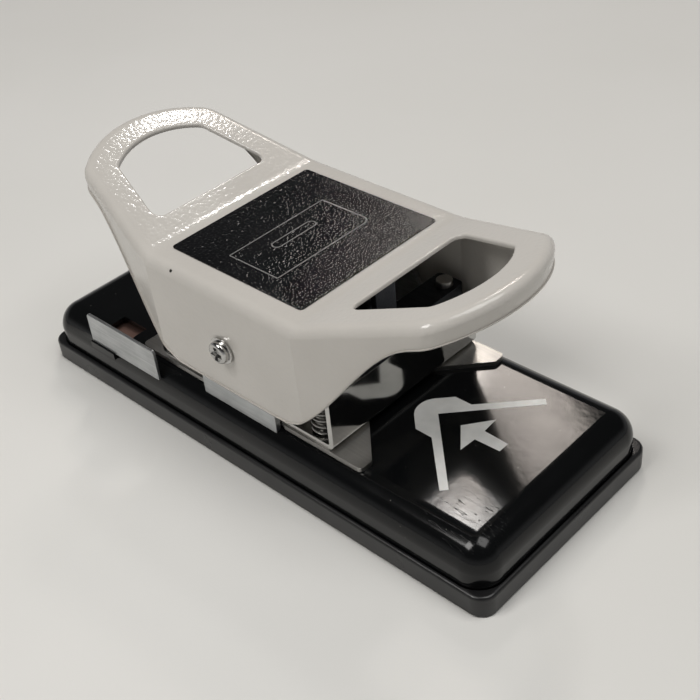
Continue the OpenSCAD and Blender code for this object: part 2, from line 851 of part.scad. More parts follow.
// Guide bracket: a flange on the stop plate and a wall across the base
module guide_bracket() {
    out_r = wall_bend_r + guide_sheet;
    difference() {
        translate([0, plate_half_w, stop_top]) rotate([90, 0, 0])
            linear_extrude(2 * plate_half_w) {
                translate([plate_back, 0]) square([wall_x - out_r - plate_back, guide_sheet]);
                translate([wall_x - guide_sheet, out_r]) square([guide_sheet, wall_h - out_r]);
                intersection() {
                    difference() {
                        translate([wall_x - out_r, out_r]) circle(out_r);
                        translate([wall_x - out_r, out_r]) circle(wall_bend_r);
                    }
                    translate([wall_x - out_r, 0]) square(out_r);
                }
            }
        translate([0, 0, stop_top]) {
            die_screw_places() rod(screw_thread_d, -over, guide_sheet + over);
            post_places() rod(spigot_d + 2 * run_fit, -over, guide_sheet + over);
            translate([0, 0, -over]) linear_extrude(guide_sheet + 2 * over) children();
        }
    }
}

module front_guide_bracket() {
    color(steel) guide_bracket() punch_blank(pass_gap);
}

module rear_guide_bracket() {
    color(steel) at_rear() guide_bracket() slot_outline(pass_gap);
}

// Punches, guide blocks and dies

// Outline of the corner punch before its cutting edge is cut, grown by c
module punch_blank(c) {
    translate([punch_back - c, -punch_half_w - c])
        square([punch_front - punch_back + 2 * c, 2 * (punch_half_w + c)]);
}

// Outline of the corner punch, grown by c
module corner_outline(c) {
    difference() {
        punch_blank(c);
        card_corner(c);
    }
}

// Outline of the slot punch, grown by c
module slot_outline(c) {
    straight = slot_l - slot_w;
    translate([slot_x, 0]) {
        square([slot_w + 2 * c, straight], center = true);
        for (s = [-1, 1]) translate([0, s * straight / 2]) circle(slot_w / 2 + c);
    }
}

// Plan corners of the raised pad of each die
function corner_pad() = [
    [punch_back - pad_wall, -punch_half_w - pad_wall],
    [punch_front + pad_wall, punch_half_w + pad_wall]];
function slot_pad() = [
    [slot_x - slot_w / 2 - pad_wall, -slot_l / 2 - pad_wall],
    [slot_x + slot_w / 2 + pad_wall, slot_l / 2 + pad_wall]];

// Plan corners of each punch guide block
function corner_block() = [
    [punch_back - block_wall, -punch_half_w - block_wall],
    [punch_front + block_wall, punch_half_w + block_wall]];
function slot_block() = [
    [slot_x - slot_w / 2 - block_wall, -slot_l / 2 - block_wall],
    [slot_x + slot_w / 2 + block_wall, slot_l / 2 + block_wall]];

// A die: a bar under the base with a pad through the window; the child is the punch outline
module die_bar(pad) {
    difference() {
        union() {
            box([plate_back, -under_half_w, die_low], [pad[1].x + pad_wall, under_half_w, shell_under]);
            box(concat(pad[0], shell_under - over), concat(pad[1], shell_top));
        }
        translate([0, 0, die_low - over]) linear_extrude(shell_top - die_low + 2 * over) children(0);
        translate([0, 0, die_low - over]) linear_extrude(shell_top - die_land - die_low + over) children(1);
        die_screw_places() rod(screw_hole_d, die_low - over, shell_under + over);
    }
}

module corner_die() {
    color(tool_steel)
        die_bar(corner_pad()) {
            corner_outline(punch_fit);
            corner_outline(die_relief);
        }
}

module slot_die() {
    color(tool_steel)
        at_rear()
            die_bar(slot_pad()) {
                slot_outline(punch_fit);
                slot_outline(die_relief);
            }
}

// Screws from below that hold a die, the base, the stop plate and the guide bracket together
module die_screws() {
    color(zinc)
        die_screw_places()
            mirror([0, 0, 1])
                pan_screw(screw_d, screw_head_d, screw_head_h, -die_low, flange_top - die_low);
}

module corner_die_screws() die_screws();
module slot_die_screws() at_rear() die_screws();

// A guide block of height h on the flange; the child is the punch outline
module guide_block(corners, h) {
    difference() {
        box(concat(corners[0], flange_top), concat(corners[1], flange_top + h));
        translate([0, 0, flange_top - over]) linear_extrude(h + 2 * over) children();
    }
}

module corner_punch_guide() {
    color(tool_steel) guide_block(corner_block(), block_h) corner_outline(punch_fit);
}

module slot_punch_guide() {
    color(tool_steel) at_rear() guide_block(slot_block(), slot_block_h) slot_outline(punch_fit);
}

// Crossheads with their punches

punch_screw_l = head_t + punch_screw_bite;
corner_screw_x = punch_back + corner_screw_in;
corner_screw_y = punch_half_w / 2;
slot_screw_y = press_w / 2 + screw_head_d / 2 + plate_gap;

// Places of the two screws at p and mirrored across the middle line
module punch_screw_places(p) {
    for (s = [-1, 1]) translate([p.x, s * p.y, 0]) children();
}

// A cross bar on the two posts with a tongue that carries the punch
module crosshead(screw) {
    difference() {
        translate([0, 0, head_low])
            linear_extrude(head_t) {
                rounded_rect([head_bar, -head_half_w], [head_front, head_half_w], head_corner_r);
                rounded_rect(
                    [head_back, -tongue_w / 2],
                    [head_bar + 2 * head_corner_r, tongue_w / 2], head_corner_r);
            }
        post_places() rod(post_d + 2 * run_fit, head_low - over, head_top + over);
        punch_screw_places(screw) rod(screw_hole_d, head_low - over, head_top + over);
    }
}

module corner_crosshead() {
    color(zinc) crosshead([corner_screw_x, corner_screw_y]);
}

module slot_crosshead() {
    color(zinc) at_rear() crosshead([slot_x, slot_screw_y]);
}

module punch_screws(p) {
    color(zinc)
        punch_screw_places(p) pan_screw(screw_d, screw_head_d, screw_head_h, head_top, punch_screw_l);
}

module corner_punch_screws() punch_screws([corner_screw_x, corner_screw_y]);
module slot_punch_screws() at_rear() punch_screws([slot_x, slot_screw_y]);

// Threaded holes for the punch screws
module punch_threads(p) {
    punch_screw_places(p) rod(screw_thread_d, head_top - punch_screw_l - over / 2, head_low + over);
}

module corner_punch() {
    color(tool_steel)
        difference() {
            translate([0, 0, edge_z]) linear_extrude(head_low - edge_z) corner_outline(0);
            punch_threads([corner_screw_x, corner_screw_y]);
        }
}

module slot_punch() {
    head_half = [slot_w / 2 + block_wall / 2, slot_screw_y + screw_head_d / 2];
    color(tool_steel)
        at_rear()
            difference() {
                union() {
                    translate([0, 0, edge_z]) linear_extrude(head_low - edge_z) slot_outline(0);
                    translate([slot_x, 0, head_low - slot_head_h])
                        linear_extrude(slot_head_h) rounded_rect(-head_half, head_half, head_corner_r);
                }
                punch_threads([slot_x, slot_screw_y]);
            }
}

// Guide posts with riveted spigots
module guide_posts() {
    color(steel)
        post_places() {
            rod(post_d, flange_top, post_top);
            rod(spigot_d, shell_top, flange_top + over);
        }
}

module front_guide_posts() guide_posts();
module rear_guide_posts() at_rear() guide_posts();

// Return springs: one unbroken wire wound round each post

spring_r = post_d / 2 + spring_gap + wire_d / 2;
spring_z0 = flange_top + wire_d / 2 + spring_seat_gap;
spring_z1 = head_low - wire_d / 2 - spring_seat_gap;
coil_rings = 8;
wire_sides = 6;
spring_steps = spring_turns * coil_rings;
spring_rise = (spring_z1 - spring_z0) / (360 * spring_turns);

// Centre line of the wire at winding angle a, and its direction there
function coil_point(a) = [spring_r * cos(a), spring_r * sin(a), spring_z0 + spring_rise * a];
function coil_way(a) =
    let (v = [-spring_r * sin(a), spring_r * cos(a), spring_rise * 180 / PI]) v / norm(v);

// The centre line's points with their angles: the winding and a straight wire diameter at each end
spring_end_a = 360 * spring_turns;
spring_path = concat(
    [[coil_point(0) - wire_d * coil_way(0), 0]],
    [for (i = [0:spring_steps]) [coil_point(360 * i / coil_rings), 360 * i / coil_rings]],
    [[coil_point(spring_end_a) + wire_d * coil_way(spring_end_a), spring_end_a]]);

// Ring of wire points round a centre line point
function wire_ring(p) =
    let (
        out = [cos(p[1]), sin(p[1]), 0],
        side = cross(coil_way(p[1]), out)
    )
    [for (k = [0:wire_sides - 1])
        let (b = 360 * k / wire_sides) p[0] + wire_d / 2 * (cos(b) * out + sin(b) * side)];

// Least gap of the wire to itself, between points that lie over half a turn apart
spring_self_gap = min([
    for (i = [0:len(spring_path) - 1], j = [i + coil_rings / 2 + 1:1:len(spring_path) - 1])
        norm(spring_path[i][0] - spring_path[j][0])]) - wire_d;
echo(spring_self_gap = spring_self_gap);

module return_spring() {
    n = wire_sides;
    m = len(spring_path);
    points = [for (p = spring_path) each wire_ring(p)];
    color(zinc)
        polyhedron(
            points = points,
            faces = concat(
                [for (k = [1:n - 2]) [0, k, k + 1]],
                [for (j = [0:m - 2], k = [0:n - 1], half = [0, 1])
                    let (a = j * n + k, b = j * n + (k + 1) % n)
                    half == 0 ? [a, a + n, b] : [b, a + n, b + n]],
                [for (k = [1:n - 2]) [(m - 1) * n, (m - 1) * n + k + 1, (m - 1) * n + k]]));
}

module front_left_spring() translate([post_x, -post_y, 0]) return_spring();
module front_right_spring() translate([post_x, post_y, 0]) return_spring();
module rear_left_spring() translate([-post_x, -post_y, 0]) return_spring();
module rear_right_spring() translate([-post_x, post_y, 0]) return_spring();

// Side guide: an upright plate outside the base on a leaf that slides in the base

module side_guide() {
    x0 = -guide_rear;
    x1 = x0 + guide_l;
    top = shell_top + guide_above;
    slot_half = pin_d / 2 + leaf_gap;
    color(zinc) {
        translate([0, plate_face_y, 0]) rotate([90, 0, 0])
            linear_extrude(leaf_t)
                polygon([
                    [x0, guide_low - tab_h], [x0 + tab_l, guide_low - tab_h], [x0 + tab_l, guide_low],
                    [x1, guide_low], [x1, top - guide_chamfer], [x1 - guide_chamfer, top],
                    [x0 + guide_chamfer, top], [x0, top - guide_chamfer]]);
        difference() {
            box([leaf_x, plate_face_y - leaf_t / 2, leaf_low], [leaf_x + leaf_w, leaf_end_y, leaf_top]);
            translate([pin_x, pin_y, leaf_low - over]) {
                for (y = [0, guide_travel])
                    translate([0, y, 0]) cylinder(h = leaf_t + 2 * over, r = slot_half);
                translate([-slot_half, 0, 0]) cube([2 * slot_half, guide_travel, leaf_t + 2 * over]);
            }
        }
    }
}

// Channel under the top sheet that carries the leaf
module guide_track() {
    x0 = leaf_x - leaf_gap;
    x1 = leaf_x + leaf_w + leaf_gap;
    y1 = leaf_end_y + leaf_gap;
    color(zinc)
        difference() {
            box([x0 - track_t, track_out_y, track_top - track_t], [x1 + track_t, y1, shell_under]);
            box([x0, track_out_y - over, track_top], [x1, y1 + over, shell_under + over]);
            translate([pin_x, pin_y, 0])
                rod(pin_d + 2 * run_fit, track_top - track_t - over, track_top + over);
        }
}

// Headed pin through the track and the slot of the leaf
module guide_stop_pin() {
    seat = track_top - track_t;
    color(steel)
        translate([pin_x, pin_y, 0]) {
            rod(pin_d, seat - pin_head_h / 2, shell_under);
            rod(pin_head_d, seat - pin_head_h, seat);
        }
}

chip_tray();
rubber_feet();
base_shell();
pivot_bracket();
bracket_nut_bar();
bracket_screws();
pivot_bushes();
pivot_shaft();
pivot_screws();
handle_shell();
label_plate();
front_press_bracket();
rear_press_bracket();
corner_stop_plate();
front_guide_bracket();
corner_die();
corner_die_screws();
corner_punch_guide();
front_guide_posts();
corner_crosshead();
corner_punch();
corner_punch_screws();
front_left_spring();
front_right_spring();
slot_stop_plate();
rear_guide_bracket();
slot_die();
slot_die_screws();
slot_punch_guide();
rear_guide_posts();
slot_crosshead();
slot_punch();
slot_punch_screws();
rear_left_spring();
rear_right_spring();
side_guide();
guide_track();
guide_stop_pin();
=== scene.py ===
"""Looks of a rocker corner cutter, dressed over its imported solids.

+X points to the corner cutting end, +Y to the far side and +Z up. Sizes are in millimetres, and
the meshes are drawn in metres in the frame of the solids.
"""

import logging
import math
from collections.abc import Sequence
from dataclasses import dataclass, field
from enum import Enum

import bmesh
import bpy
from mathutils import Matrix, Quaternion, Vector
from mathutils.geometry import tessellate_polygon

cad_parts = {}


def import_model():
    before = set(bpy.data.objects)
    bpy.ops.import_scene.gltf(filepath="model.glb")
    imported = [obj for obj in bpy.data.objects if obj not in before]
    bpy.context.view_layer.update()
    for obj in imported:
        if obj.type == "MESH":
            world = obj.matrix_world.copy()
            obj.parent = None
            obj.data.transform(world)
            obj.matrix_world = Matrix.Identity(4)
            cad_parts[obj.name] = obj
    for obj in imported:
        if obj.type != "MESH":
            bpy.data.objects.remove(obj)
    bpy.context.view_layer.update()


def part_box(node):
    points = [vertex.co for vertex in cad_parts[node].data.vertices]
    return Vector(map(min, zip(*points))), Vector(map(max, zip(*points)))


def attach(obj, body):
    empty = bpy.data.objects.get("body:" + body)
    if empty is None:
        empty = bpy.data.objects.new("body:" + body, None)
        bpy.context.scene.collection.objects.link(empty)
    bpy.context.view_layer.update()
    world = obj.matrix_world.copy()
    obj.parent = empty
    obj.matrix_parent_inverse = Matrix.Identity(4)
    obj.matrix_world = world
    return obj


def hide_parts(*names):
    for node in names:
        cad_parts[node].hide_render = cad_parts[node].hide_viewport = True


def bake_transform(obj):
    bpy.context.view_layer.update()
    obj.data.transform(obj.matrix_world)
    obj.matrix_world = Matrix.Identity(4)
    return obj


MM = 0.001
# Faces that meet at more than this angle keep a sharp edge, in degrees
SHARP_ANGLE = 32.0
# Faces that meet at less than this angle are one face, in degrees
FLAT_ANGLE = 0.2
# Chords of a full turn of a round piece, and of a broken edge
TURN_STEPS = 40
BEVEL_STEPS = 3
# Points closer than this are one point, in metres
MERGE = 2e-6
# Numbers of the inputs and of the output with which a Mix node mixes colours
MIX_SHARE = 0
MIX_FROM = 6
MIX_TO = 7
MIX_OUT = 2
# Between these lie most values of one noise pattern, and of two added
NOISE_ENDS = (0.3, 0.7)
NOISE_SUM_ENDS = (0.7, 1.3)

Flat = tuple[float, float]
Point = tuple[float, float, float]
Tree = bpy.types.NodeTree
Node = bpy.types.Node
Socket = bpy.types.NodeSocket

log = logging.getLogger("corner_cutter")


class End(Enum):
    """The machine's two ends, each with the sign of its X axis."""

    CORNER = 1
    SLOT = -1


class Body(Enum):
    """The bodies of the frame that pieces ride on."""

    BASE = "base"
    ROCKER = "rocker"
    CORNER_PRESS = "corner_press"
    SLOT_PRESS = "slot_press"
    SIDE_GUIDE = "side_guide_body"


def linear(code: str) -> tuple[float, float, float, float]:
    """Turns an sRGB hex colour into a linear one.

    Args:
        code: The colour as "#rrggbb".

    Returns:
        Red, green, blue and alpha.
    """
    values = [int(code[i:i + 2], 16) / 255 for i in (1, 3, 5)]
    r, g, b = (v / 12.92 if v <= 0.04045 else ((v + 0.055) / 1.055) ** 2.4 for v in values)
    return r, g, b, 1.0


def per(size: float) -> float:
    """Gives the texture scale at which one cell of a pattern has a size in millimetres."""
    return 1.0 / (size * MM)


def add(tree: Tree, kind: str, inputs: dict | None = None, **settings) -> Node:
    """Adds a node with its settings, and sets or links its inputs.

    Args:
        tree: The tree that the node goes into.
        kind: Blender's name of the node's type.
        inputs: Values or output sockets by the name or number of the input.
        settings: Properties of the node itself.

    Returns:
        The new node.
    """
    node = tree.nodes.new(kind)
    for name, value in settings.items():
        setattr(node, name, value)
    for name, value in (inputs or {}).items():
        if isinstance(value, Socket):
            tree.links.new(value, node.inputs[name])
        else:
            node.inputs[name].default_value = value
    return node


@dataclass(frozen=True)
class Finish:
    """One surface finish: what it is made of, and how it came to look as it does."""

    name: str
    slot: str
    colour: str
    shade: str
    roughness: float
    metallic: float = 0.0

    def material(self) -> bpy.types.Material:
        """Makes the material of this finish, or finds it if it is made already.

        Returns:
            The material.
        """
        found = bpy.data.materials.get(self.name)
        if found:
            return found
        material = bpy.data.materials.new(self.name)
        material.use_nodes = True
        tree = material.node_tree
        tree.nodes.clear()
        shader = add(tree, "ShaderNodeBsdfPrincipled", {
            "Base Color": linear(self.colour), "Roughness": self.roughness, "Metallic": self.metallic})
        add(tree, "ShaderNodeOutputMaterial", {"Surface": shader.outputs["BSDF"]})
        place = add(tree, "ShaderNodeTexCoord").outputs["Object"]
        self.paint(tree, shader, place)
        return material

    def paint(self, tree: Tree, shader: Node, place: Socket) -> None:
        """Adds this finish's own pattern to its shader.

        Args:
            tree: The material's tree.
            shader: The shader that the pattern drives.
            place: The point on the object.
        """
        raise NotImplementedError

    def vary(self, tree: Tree, pattern: Socket, ends: Flat, spread: float) -> tuple[Socket, Socket]:
        """Lets a pattern take the colour from the shade to the full colour, and change the gloss.

        Args:
            tree: The material's tree.
            pattern: The pattern's value.
            ends: The values at which the shade and the full colour are reached.
            spread: How far the roughness rises above its own value with the pattern.

        Returns:
            The colour and the roughness.
        """
        span = {"Value": pattern, "From Min": ends[0], "From Max": ends[1]}
        share = add(tree, "ShaderNodeMapRange", span)
        colour = add(tree, "ShaderNodeMix", {
            MIX_SHARE: share.outputs["Result"], MIX_FROM: linear(self.shade),
            MIX_TO: linear(self.colour)}, data_type="RGBA")
        rough = add(tree, "ShaderNodeMapRange", span | {
            "To Min": self.roughness - spread, "To Max": self.roughness + spread})
        return colour.outputs[MIX_OUT], rough.outputs["Result"]

    @staticmethod
    def drive(tree: Tree, shader: Node, colour: Socket, rough: Socket, bump: Node) -> None:
        """Links colour, roughness and relief to a shader.

        Args:
            tree: The material's tree.
            shader: The shader.
            colour: Its colour.
            rough: Its roughness.
            bump: The node that gives its relief.
        """
        for name, value in (("Base Color", colour), ("Roughness", rough), ("Normal", bump.outputs["Normal"])):
            tree.links.new(value, shader.inputs[name])


@dataclass(frozen=True)
class DomedSkin(Finish):
    """A skin of small domes that break the light into glints, as a hammered coat or an embossed film has."""

    dome: float = 1.5
    depth: float = 0.048
    soft: float = 0.35
    grain: float = 0.5
    grain_share: float = 0.03
    cloud: float = 26.0
    spread: float = 0.03
    chip_colour: str = "#2a2826"
    chip_ends: Flat = (1.5, 1.1)
    chips: tuple[tuple[Point, float], ...] = ()

    def paint(self, tree: Tree, shader: Node, place: Socket) -> None:
        """Adds domes, a fine grain, a faint cloudiness and the chips knocked into the skin.

        Args:
            tree: The material's tree.
            shader: The shader that the pattern drives.
            place: The point on the object.
        """
        cells = add(tree, "ShaderNodeTexVoronoi", {
            "Vector": place, "Scale": per(self.dome), "Smoothness": self.soft}, feature="SMOOTH_F1")
        grain = add(tree, "ShaderNodeTexNoise", {"Vector": place, "Scale": per(self.grain), "Detail": 1.0})
        cloud = add(tree, "ShaderNodeTexNoise", {"Vector": place, "Scale": per(self.cloud), "Detail": 3.0})
        fall = add(tree, "ShaderNodeMath", {0: cells.outputs["Distance"], 1: 2.0}, operation="POWER")
        relief = add(tree, "ShaderNodeMath", {
            0: grain.outputs["Fac"], 1: -self.grain_share, 2: fall.outputs[0]}, operation="MULTIPLY_ADD")
        bump = add(tree, "ShaderNodeBump", {
            "Height": relief.outputs[0], "Strength": 1.0, "Distance": self.depth * MM}, invert=True)
        colour, rough = self.vary(tree, cloud.outputs["Fac"], NOISE_ENDS, self.spread)
        for centre, radius in self.chips:
            fade = [share * radius * MM for share in self.chip_ends]
            away = add(tree, "ShaderNodeVectorMath", {0: place, 1: Vector(centre) * MM}, operation="DISTANCE")
            ragged = add(tree, "ShaderNodeMath", {
                0: grain.outputs["Fac"], 1: radius * MM, 2: away.outputs["Value"]}, operation="MULTIPLY_ADD")
            bare = add(tree, "ShaderNodeMapRange", {
                "Value": ragged.outputs[0], "From Min": fade[0], "From Max": fade[1]})
            chipped = add(tree, "ShaderNodeMix", {
                MIX_SHARE: bare.outputs["Result"], MIX_FROM: colour,
                MIX_TO: linear(self.chip_colour)}, data_type="RGBA")
            colour = chipped.outputs[MIX_OUT]
        self.drive(tree, shader, colour, rough, bump)


@dataclass(frozen=True)
class StoveEnamel(Finish):
    """Gloss stove enamel on sheet steel: a deep black with a slight orange peel, dust and hair scratches."""

    peel: float = 3.2
    grain: float = 0.5
    grain_share: float = 0.3
    depth: float = 0.016
    index: float = 1.38
    haze: float = 22.0
    spread: float = 0.035
    dust_cell: float = 4.5
    dust_size: float = 0.16
    dust_core: float = 0.6
    dust_colour: str = "#77756f"
    scratch_at: Point = (94.0, -32.7, 24.3)
    scratch_reach: float = 15.0
    scratch_core: float = 0.5
    scratch_gap: float = 1.1
    scratch_run: float = 16.0
    scratch_turns: Flat = (0.5, 2.2)
    scratch_level: float = 0.66
    scratch_ends: Flat = (0.012, 0.004)
    scratch_colour: str = "#050505"
    dulling: float = 0.6

    def scratches(self, tree: Tree, place: Socket) -> Socket:
        """Draws two sets of hair scratches that cross near one corner of the base.

        Args:
            tree: The material's tree.
            place: The point on the object.

        Returns:
            One in a scratch and nought beside it.
        """
        lines = []
        for turn in self.scratch_turns:
            along = add(tree, "ShaderNodeMapping", {
                "Vector": place, "Rotation": (0.0, 0.0, turn),
                "Scale": (per(self.scratch_run), per(self.scratch_gap), per(self.scratch_gap))})
            streak = add(tree, "ShaderNodeTexNoise", {
                "Vector": along.outputs[0], "Scale": 1.0, "Detail": 1.0})
            middle = add(tree, "ShaderNodeMath", {
                0: streak.outputs["Fac"], 1: self.scratch_level}, operation="SUBTRACT")
            away = add(tree, "ShaderNodeMath", {0: middle.outputs[0]}, operation="ABSOLUTE")
            line = add(tree, "ShaderNodeMapRange", {
                "Value": away.outputs[0], "From Min": self.scratch_ends[0], "From Max": self.scratch_ends[1]})
            lines.append(line.outputs["Result"])
        either = add(tree, "ShaderNodeMath", {0: lines[0], 1: lines[1]}, operation="MAXIMUM")
        reach = add(tree, "ShaderNodeVectorMath", {
            0: place, 1: Vector(self.scratch_at) * MM}, operation="DISTANCE")
        near = add(tree, "ShaderNodeMapRange", {
            "Value": reach.outputs["Value"], "From Min": self.scratch_reach * MM,
            "From Max": self.scratch_core * self.scratch_reach * MM})
        return add(tree, "ShaderNodeMath", {
            0: either.outputs[0], 1: near.outputs["Result"]}, operation="MULTIPLY").outputs[0]

    def paint(self, tree: Tree, shader: Node, place: Socket) -> None:
        """Adds the orange peel, a patchy haze, specks of dust and the scratches near one corner.

        Args:
            tree: The material's tree.
            shader: The shader that the pattern drives.
            place: The point on the object.
        """
        shader.inputs["IOR"].default_value = self.index
        peel = add(tree, "ShaderNodeTexNoise", {"Vector": place, "Scale": per(self.peel), "Detail": 1.0})
        grain = add(tree, "ShaderNodeTexNoise", {"Vector": place, "Scale": per(self.grain), "Detail": 1.0})
        haze = add(tree, "ShaderNodeTexNoise", {"Vector": place, "Scale": per(self.haze), "Detail": 4.0})
        relief = add(tree, "ShaderNodeMath", {
            0: grain.outputs["Fac"], 1: self.grain_share, 2: peel.outputs["Fac"]}, operation="MULTIPLY_ADD")
        bump = add(tree, "ShaderNodeBump", {
            "Height": relief.outputs[0], "Strength": 1.0, "Distance": self.depth * MM})
        gloss = add(tree, "ShaderNodeMapRange", {
            "Value": haze.outputs["Fac"], "From Min": NOISE_ENDS[0], "From Max": NOISE_ENDS[1],
            "To Min": self.roughness - self.spread, "To Max": self.roughness + self.spread})
        cells = add(tree, "ShaderNodeTexVoronoi", {"Vector": place, "Scale": per(self.dust_cell)})
        share = self.dust_size / self.dust_cell
        speck = add(tree, "ShaderNodeMapRange", {
            "Value": cells.outputs["Distance"], "From Min": share, "From Max": self.dust_core * share})
        scratch = self.scratches(tree, place)
        deep = add(tree, "ShaderNodeMix", {
            MIX_SHARE: haze.outputs["Fac"], MIX_FROM: linear(self.shade),
            MIX_TO: linear(self.colour)}, data_type="RGBA")
        dusty = add(tree, "ShaderNodeMix", {
            MIX_SHARE: speck.outputs["Result"], MIX_FROM: deep.outputs[MIX_OUT],
            MIX_TO: linear(self.dust_colour)}, data_type="RGBA")
        cut = add(tree, "ShaderNodeMix", {
            MIX_SHARE: scratch, MIX_FROM: dusty.outputs[MIX_OUT],
            MIX_TO: linear(self.scratch_colour)}, data_type="RGBA")
        dull = add(tree, "ShaderNodeMath", {0: scratch, 1: speck.outputs["Result"]}, operation="MAXIMUM")
        rough = add(tree, "ShaderNodeMath", {
            0: dull.outputs[0], 1: self.dulling, 2: gloss.outputs["Result"]}, operation="MULTIPLY_ADD")
        self.drive(tree, shader, cut.outputs[MIX_OUT], rough.outputs[0], bump)


@dataclass(frozen=True)
class GrainedSkin(Finish):
    """A plain skin with an even fine grain, as a spark eroded mould, a print or rubber has.

    The real grain is finer than the render can show, so it is drawn coarser.
    """

    grain: float = 0.7
    depth: float = 0.03
    cloud: float = 18.0
    spread: float = 0.06

    def paint(self, tree: Tree, shader: Node, place: Socket) -> None:
        """Adds the grain and a faint cloudiness of colour and gloss.

        Args:
            tree: The material's tree.
            shader: The shader that the pattern drives.
            place: The point on the object.
        """
        grain = add(tree, "ShaderNodeTexNoise", {
            "Vector": place, "Scale": per(self.grain), "Detail": 2.0, "Roughness": 0.6})
        cloud = add(tree, "ShaderNodeTexNoise", {"Vector": place, "Scale": per(self.cloud), "Detail": 4.0})
        bump = add(tree, "ShaderNodeBump", {
            "Height": grain.outputs["Fac"], "Strength": 1.0, "Distance": self.depth * MM})
        colour, rough = self.vary(tree, cloud.outputs["Fac"], NOISE_ENDS, self.spread)
        self.drive(tree, shader, colour, rough, bump)


@dataclass(frozen=True)
class LinedMetal(Finish):
    """Metal whose last tool left fine straight lines, as grinding, rolling or drawing does.

    The real lines are finer than the render can show, so they are drawn coarser.
    """

    line: float = 0.35
    run: float = 20.0
    turn: float = 0.0
    depth: float = 0.006
    spread: float = 0.09
    stain: float = 8.0

    def paint(self, tree: Tree, shader: Node, place: Socket) -> None:
        """Adds the tool's lines, and stains that turn the metal a little darker and duller.

        Args:
            tree: The material's tree.
            shader: The shader that the pattern drives.
            place: The point on the object.
        """
        along = add(tree, "ShaderNodeMapping", {
            "Vector": place, "Rotation": (0.0, 0.0, math.radians(self.turn)),
            "Scale": (per(self.run), per(self.line), per(self.line))})
        lines = add(tree, "ShaderNodeTexNoise", {"Vector": along.outputs[0], "Scale": 1.0, "Detail": 2.0})
        stain = add(tree, "ShaderNodeTexNoise", {"Vector": place, "Scale": per(self.stain), "Detail": 4.0})
        bump = add(tree, "ShaderNodeBump", {
            "Height": lines.outputs["Fac"], "Strength": 1.0, "Distance": self.depth * MM})
        both = add(tree, "ShaderNodeMath", {
            0: lines.outputs["Fac"], 1: stain.outputs["Fac"]}, operation="ADD")
        colour, rough = self.vary(tree, both.outputs[0], NOISE_SUM_ENDS, -self.spread)
        self.drive(tree, shader, colour, rough, bump)


# A warm white that breaks each lamp into many small glints, with two chips down to dark steel
POWDER_COAT = DomedSkin(
    "hammered powder coat", "cream_powder_coat", "#cac6c0", "#c5c1bb", 0.13,
    chips=(((-22.3, -41.2, 73.8), 0.8), ((-79.6, 1.0, 89.6), 0.6)))
# A deep black that mirrors the room with a slight waver
ENAMEL = StoveEnamel("black stove enamel", "gloss_black_paint", "#0c0d0e", "#0a0b0c", 0.12)
# A dark grey with a soft sheen and no clear reflection
MOULDED_ABS = GrainedSkin("moulded ABS", "dark_plastic", "#161617", "#131314", 0.32)
# A dead matt black
RUBBER = GrainedSkin("moulded rubber", "black_rubber", "#1d1d1d", "#181818", 0.8, depth=0.05)
# A black that glitters in fine dots. The real dots are finer, and are drawn as coarse as they need to show
LABEL_FILM = DomedSkin(
    "embossed label film", "label_sheet", "#0d0d0f", "#0b0b0d", 0.095,
    dome=0.8, depth=0.112, soft=0.2, spread=0.02)
# A flat white, a little uneven
PRINT = GrainedSkin(
    "screen print", "white_print", "#e6e6e3", "#dadad7", 0.5, grain=0.5, depth=0.01, cloud=5.0)
# The same ink, so thin that the black under it greys it
FADED_PRINT = GrainedSkin(
    "thin screen print", "white_print", "#7d7d7c", "#676766", 0.5, grain=0.5, depth=0.05, cloud=3.0)
# A pale grey with a broad soft shine
GROUND_STEEL = LinedMetal("ground steel", "bare_steel", "#b4b2ae", "#a3a19e", 0.36, 1.0, spread=0.05)
# A mirror that is faintly lined from top to bottom
POLISHED_STEEL = LinedMetal(
    "polished steel", "polished_steel", "#c8c7c4", "#bdbcb9", 0.1, 1.0, turn=90.0, depth=0.002, spread=0.04)
# A bluish pale grey, even and dull
ZINC_PLATE = LinedMetal("zinc plate", "zinc_plate", "#c3c5c6", "#aeb0b1", 0.4, 1.0, line=0.6, depth=0.004)
# A bright grey with small sharp glints
BRIGHT_ZINC = LinedMetal("bright zinc plate", "zinc_plate", "#c9c8c6", "#aeadab", 0.14, 1.0, depth=0.003)
# A reddish brown that is still metal
BROWN_ZINC = LinedMetal(
    "passivated zinc plate", "zinc_plate", "#a3857b", "#93776d", 0.42, 1.0, line=0.6, depth=0.004)
# Nearly black, as painted shade for the dark inside the handle, with light along the edges alone
SHADE_BLACK_ZINC = LinedMetal(
    "zinc plate blackened as painted shade", "zinc_plate", "#3c3e43", "#303237", 0.36, 1.0, line=0.6, depth=0.004)
# A dark grey with a low shine
TOOL_STEEL = LinedMetal("hardened tool steel", "tool_steel", "#7b7c7e", "#6a6b6d", 0.3, 1.0)
# A mid grey with a bright line along each turn
SPRING_STEEL = LinedMetal("drawn spring wire", "zinc_plate", "#a9a8a5", "#8f8e8b", 0.25, 1.0)
# A dull yellow brown
BRONZE = LinedMetal("sintered bronze", "bronze", "#b08a52", "#967342", 0.45, 1.0, line=0.5, run=0.5)


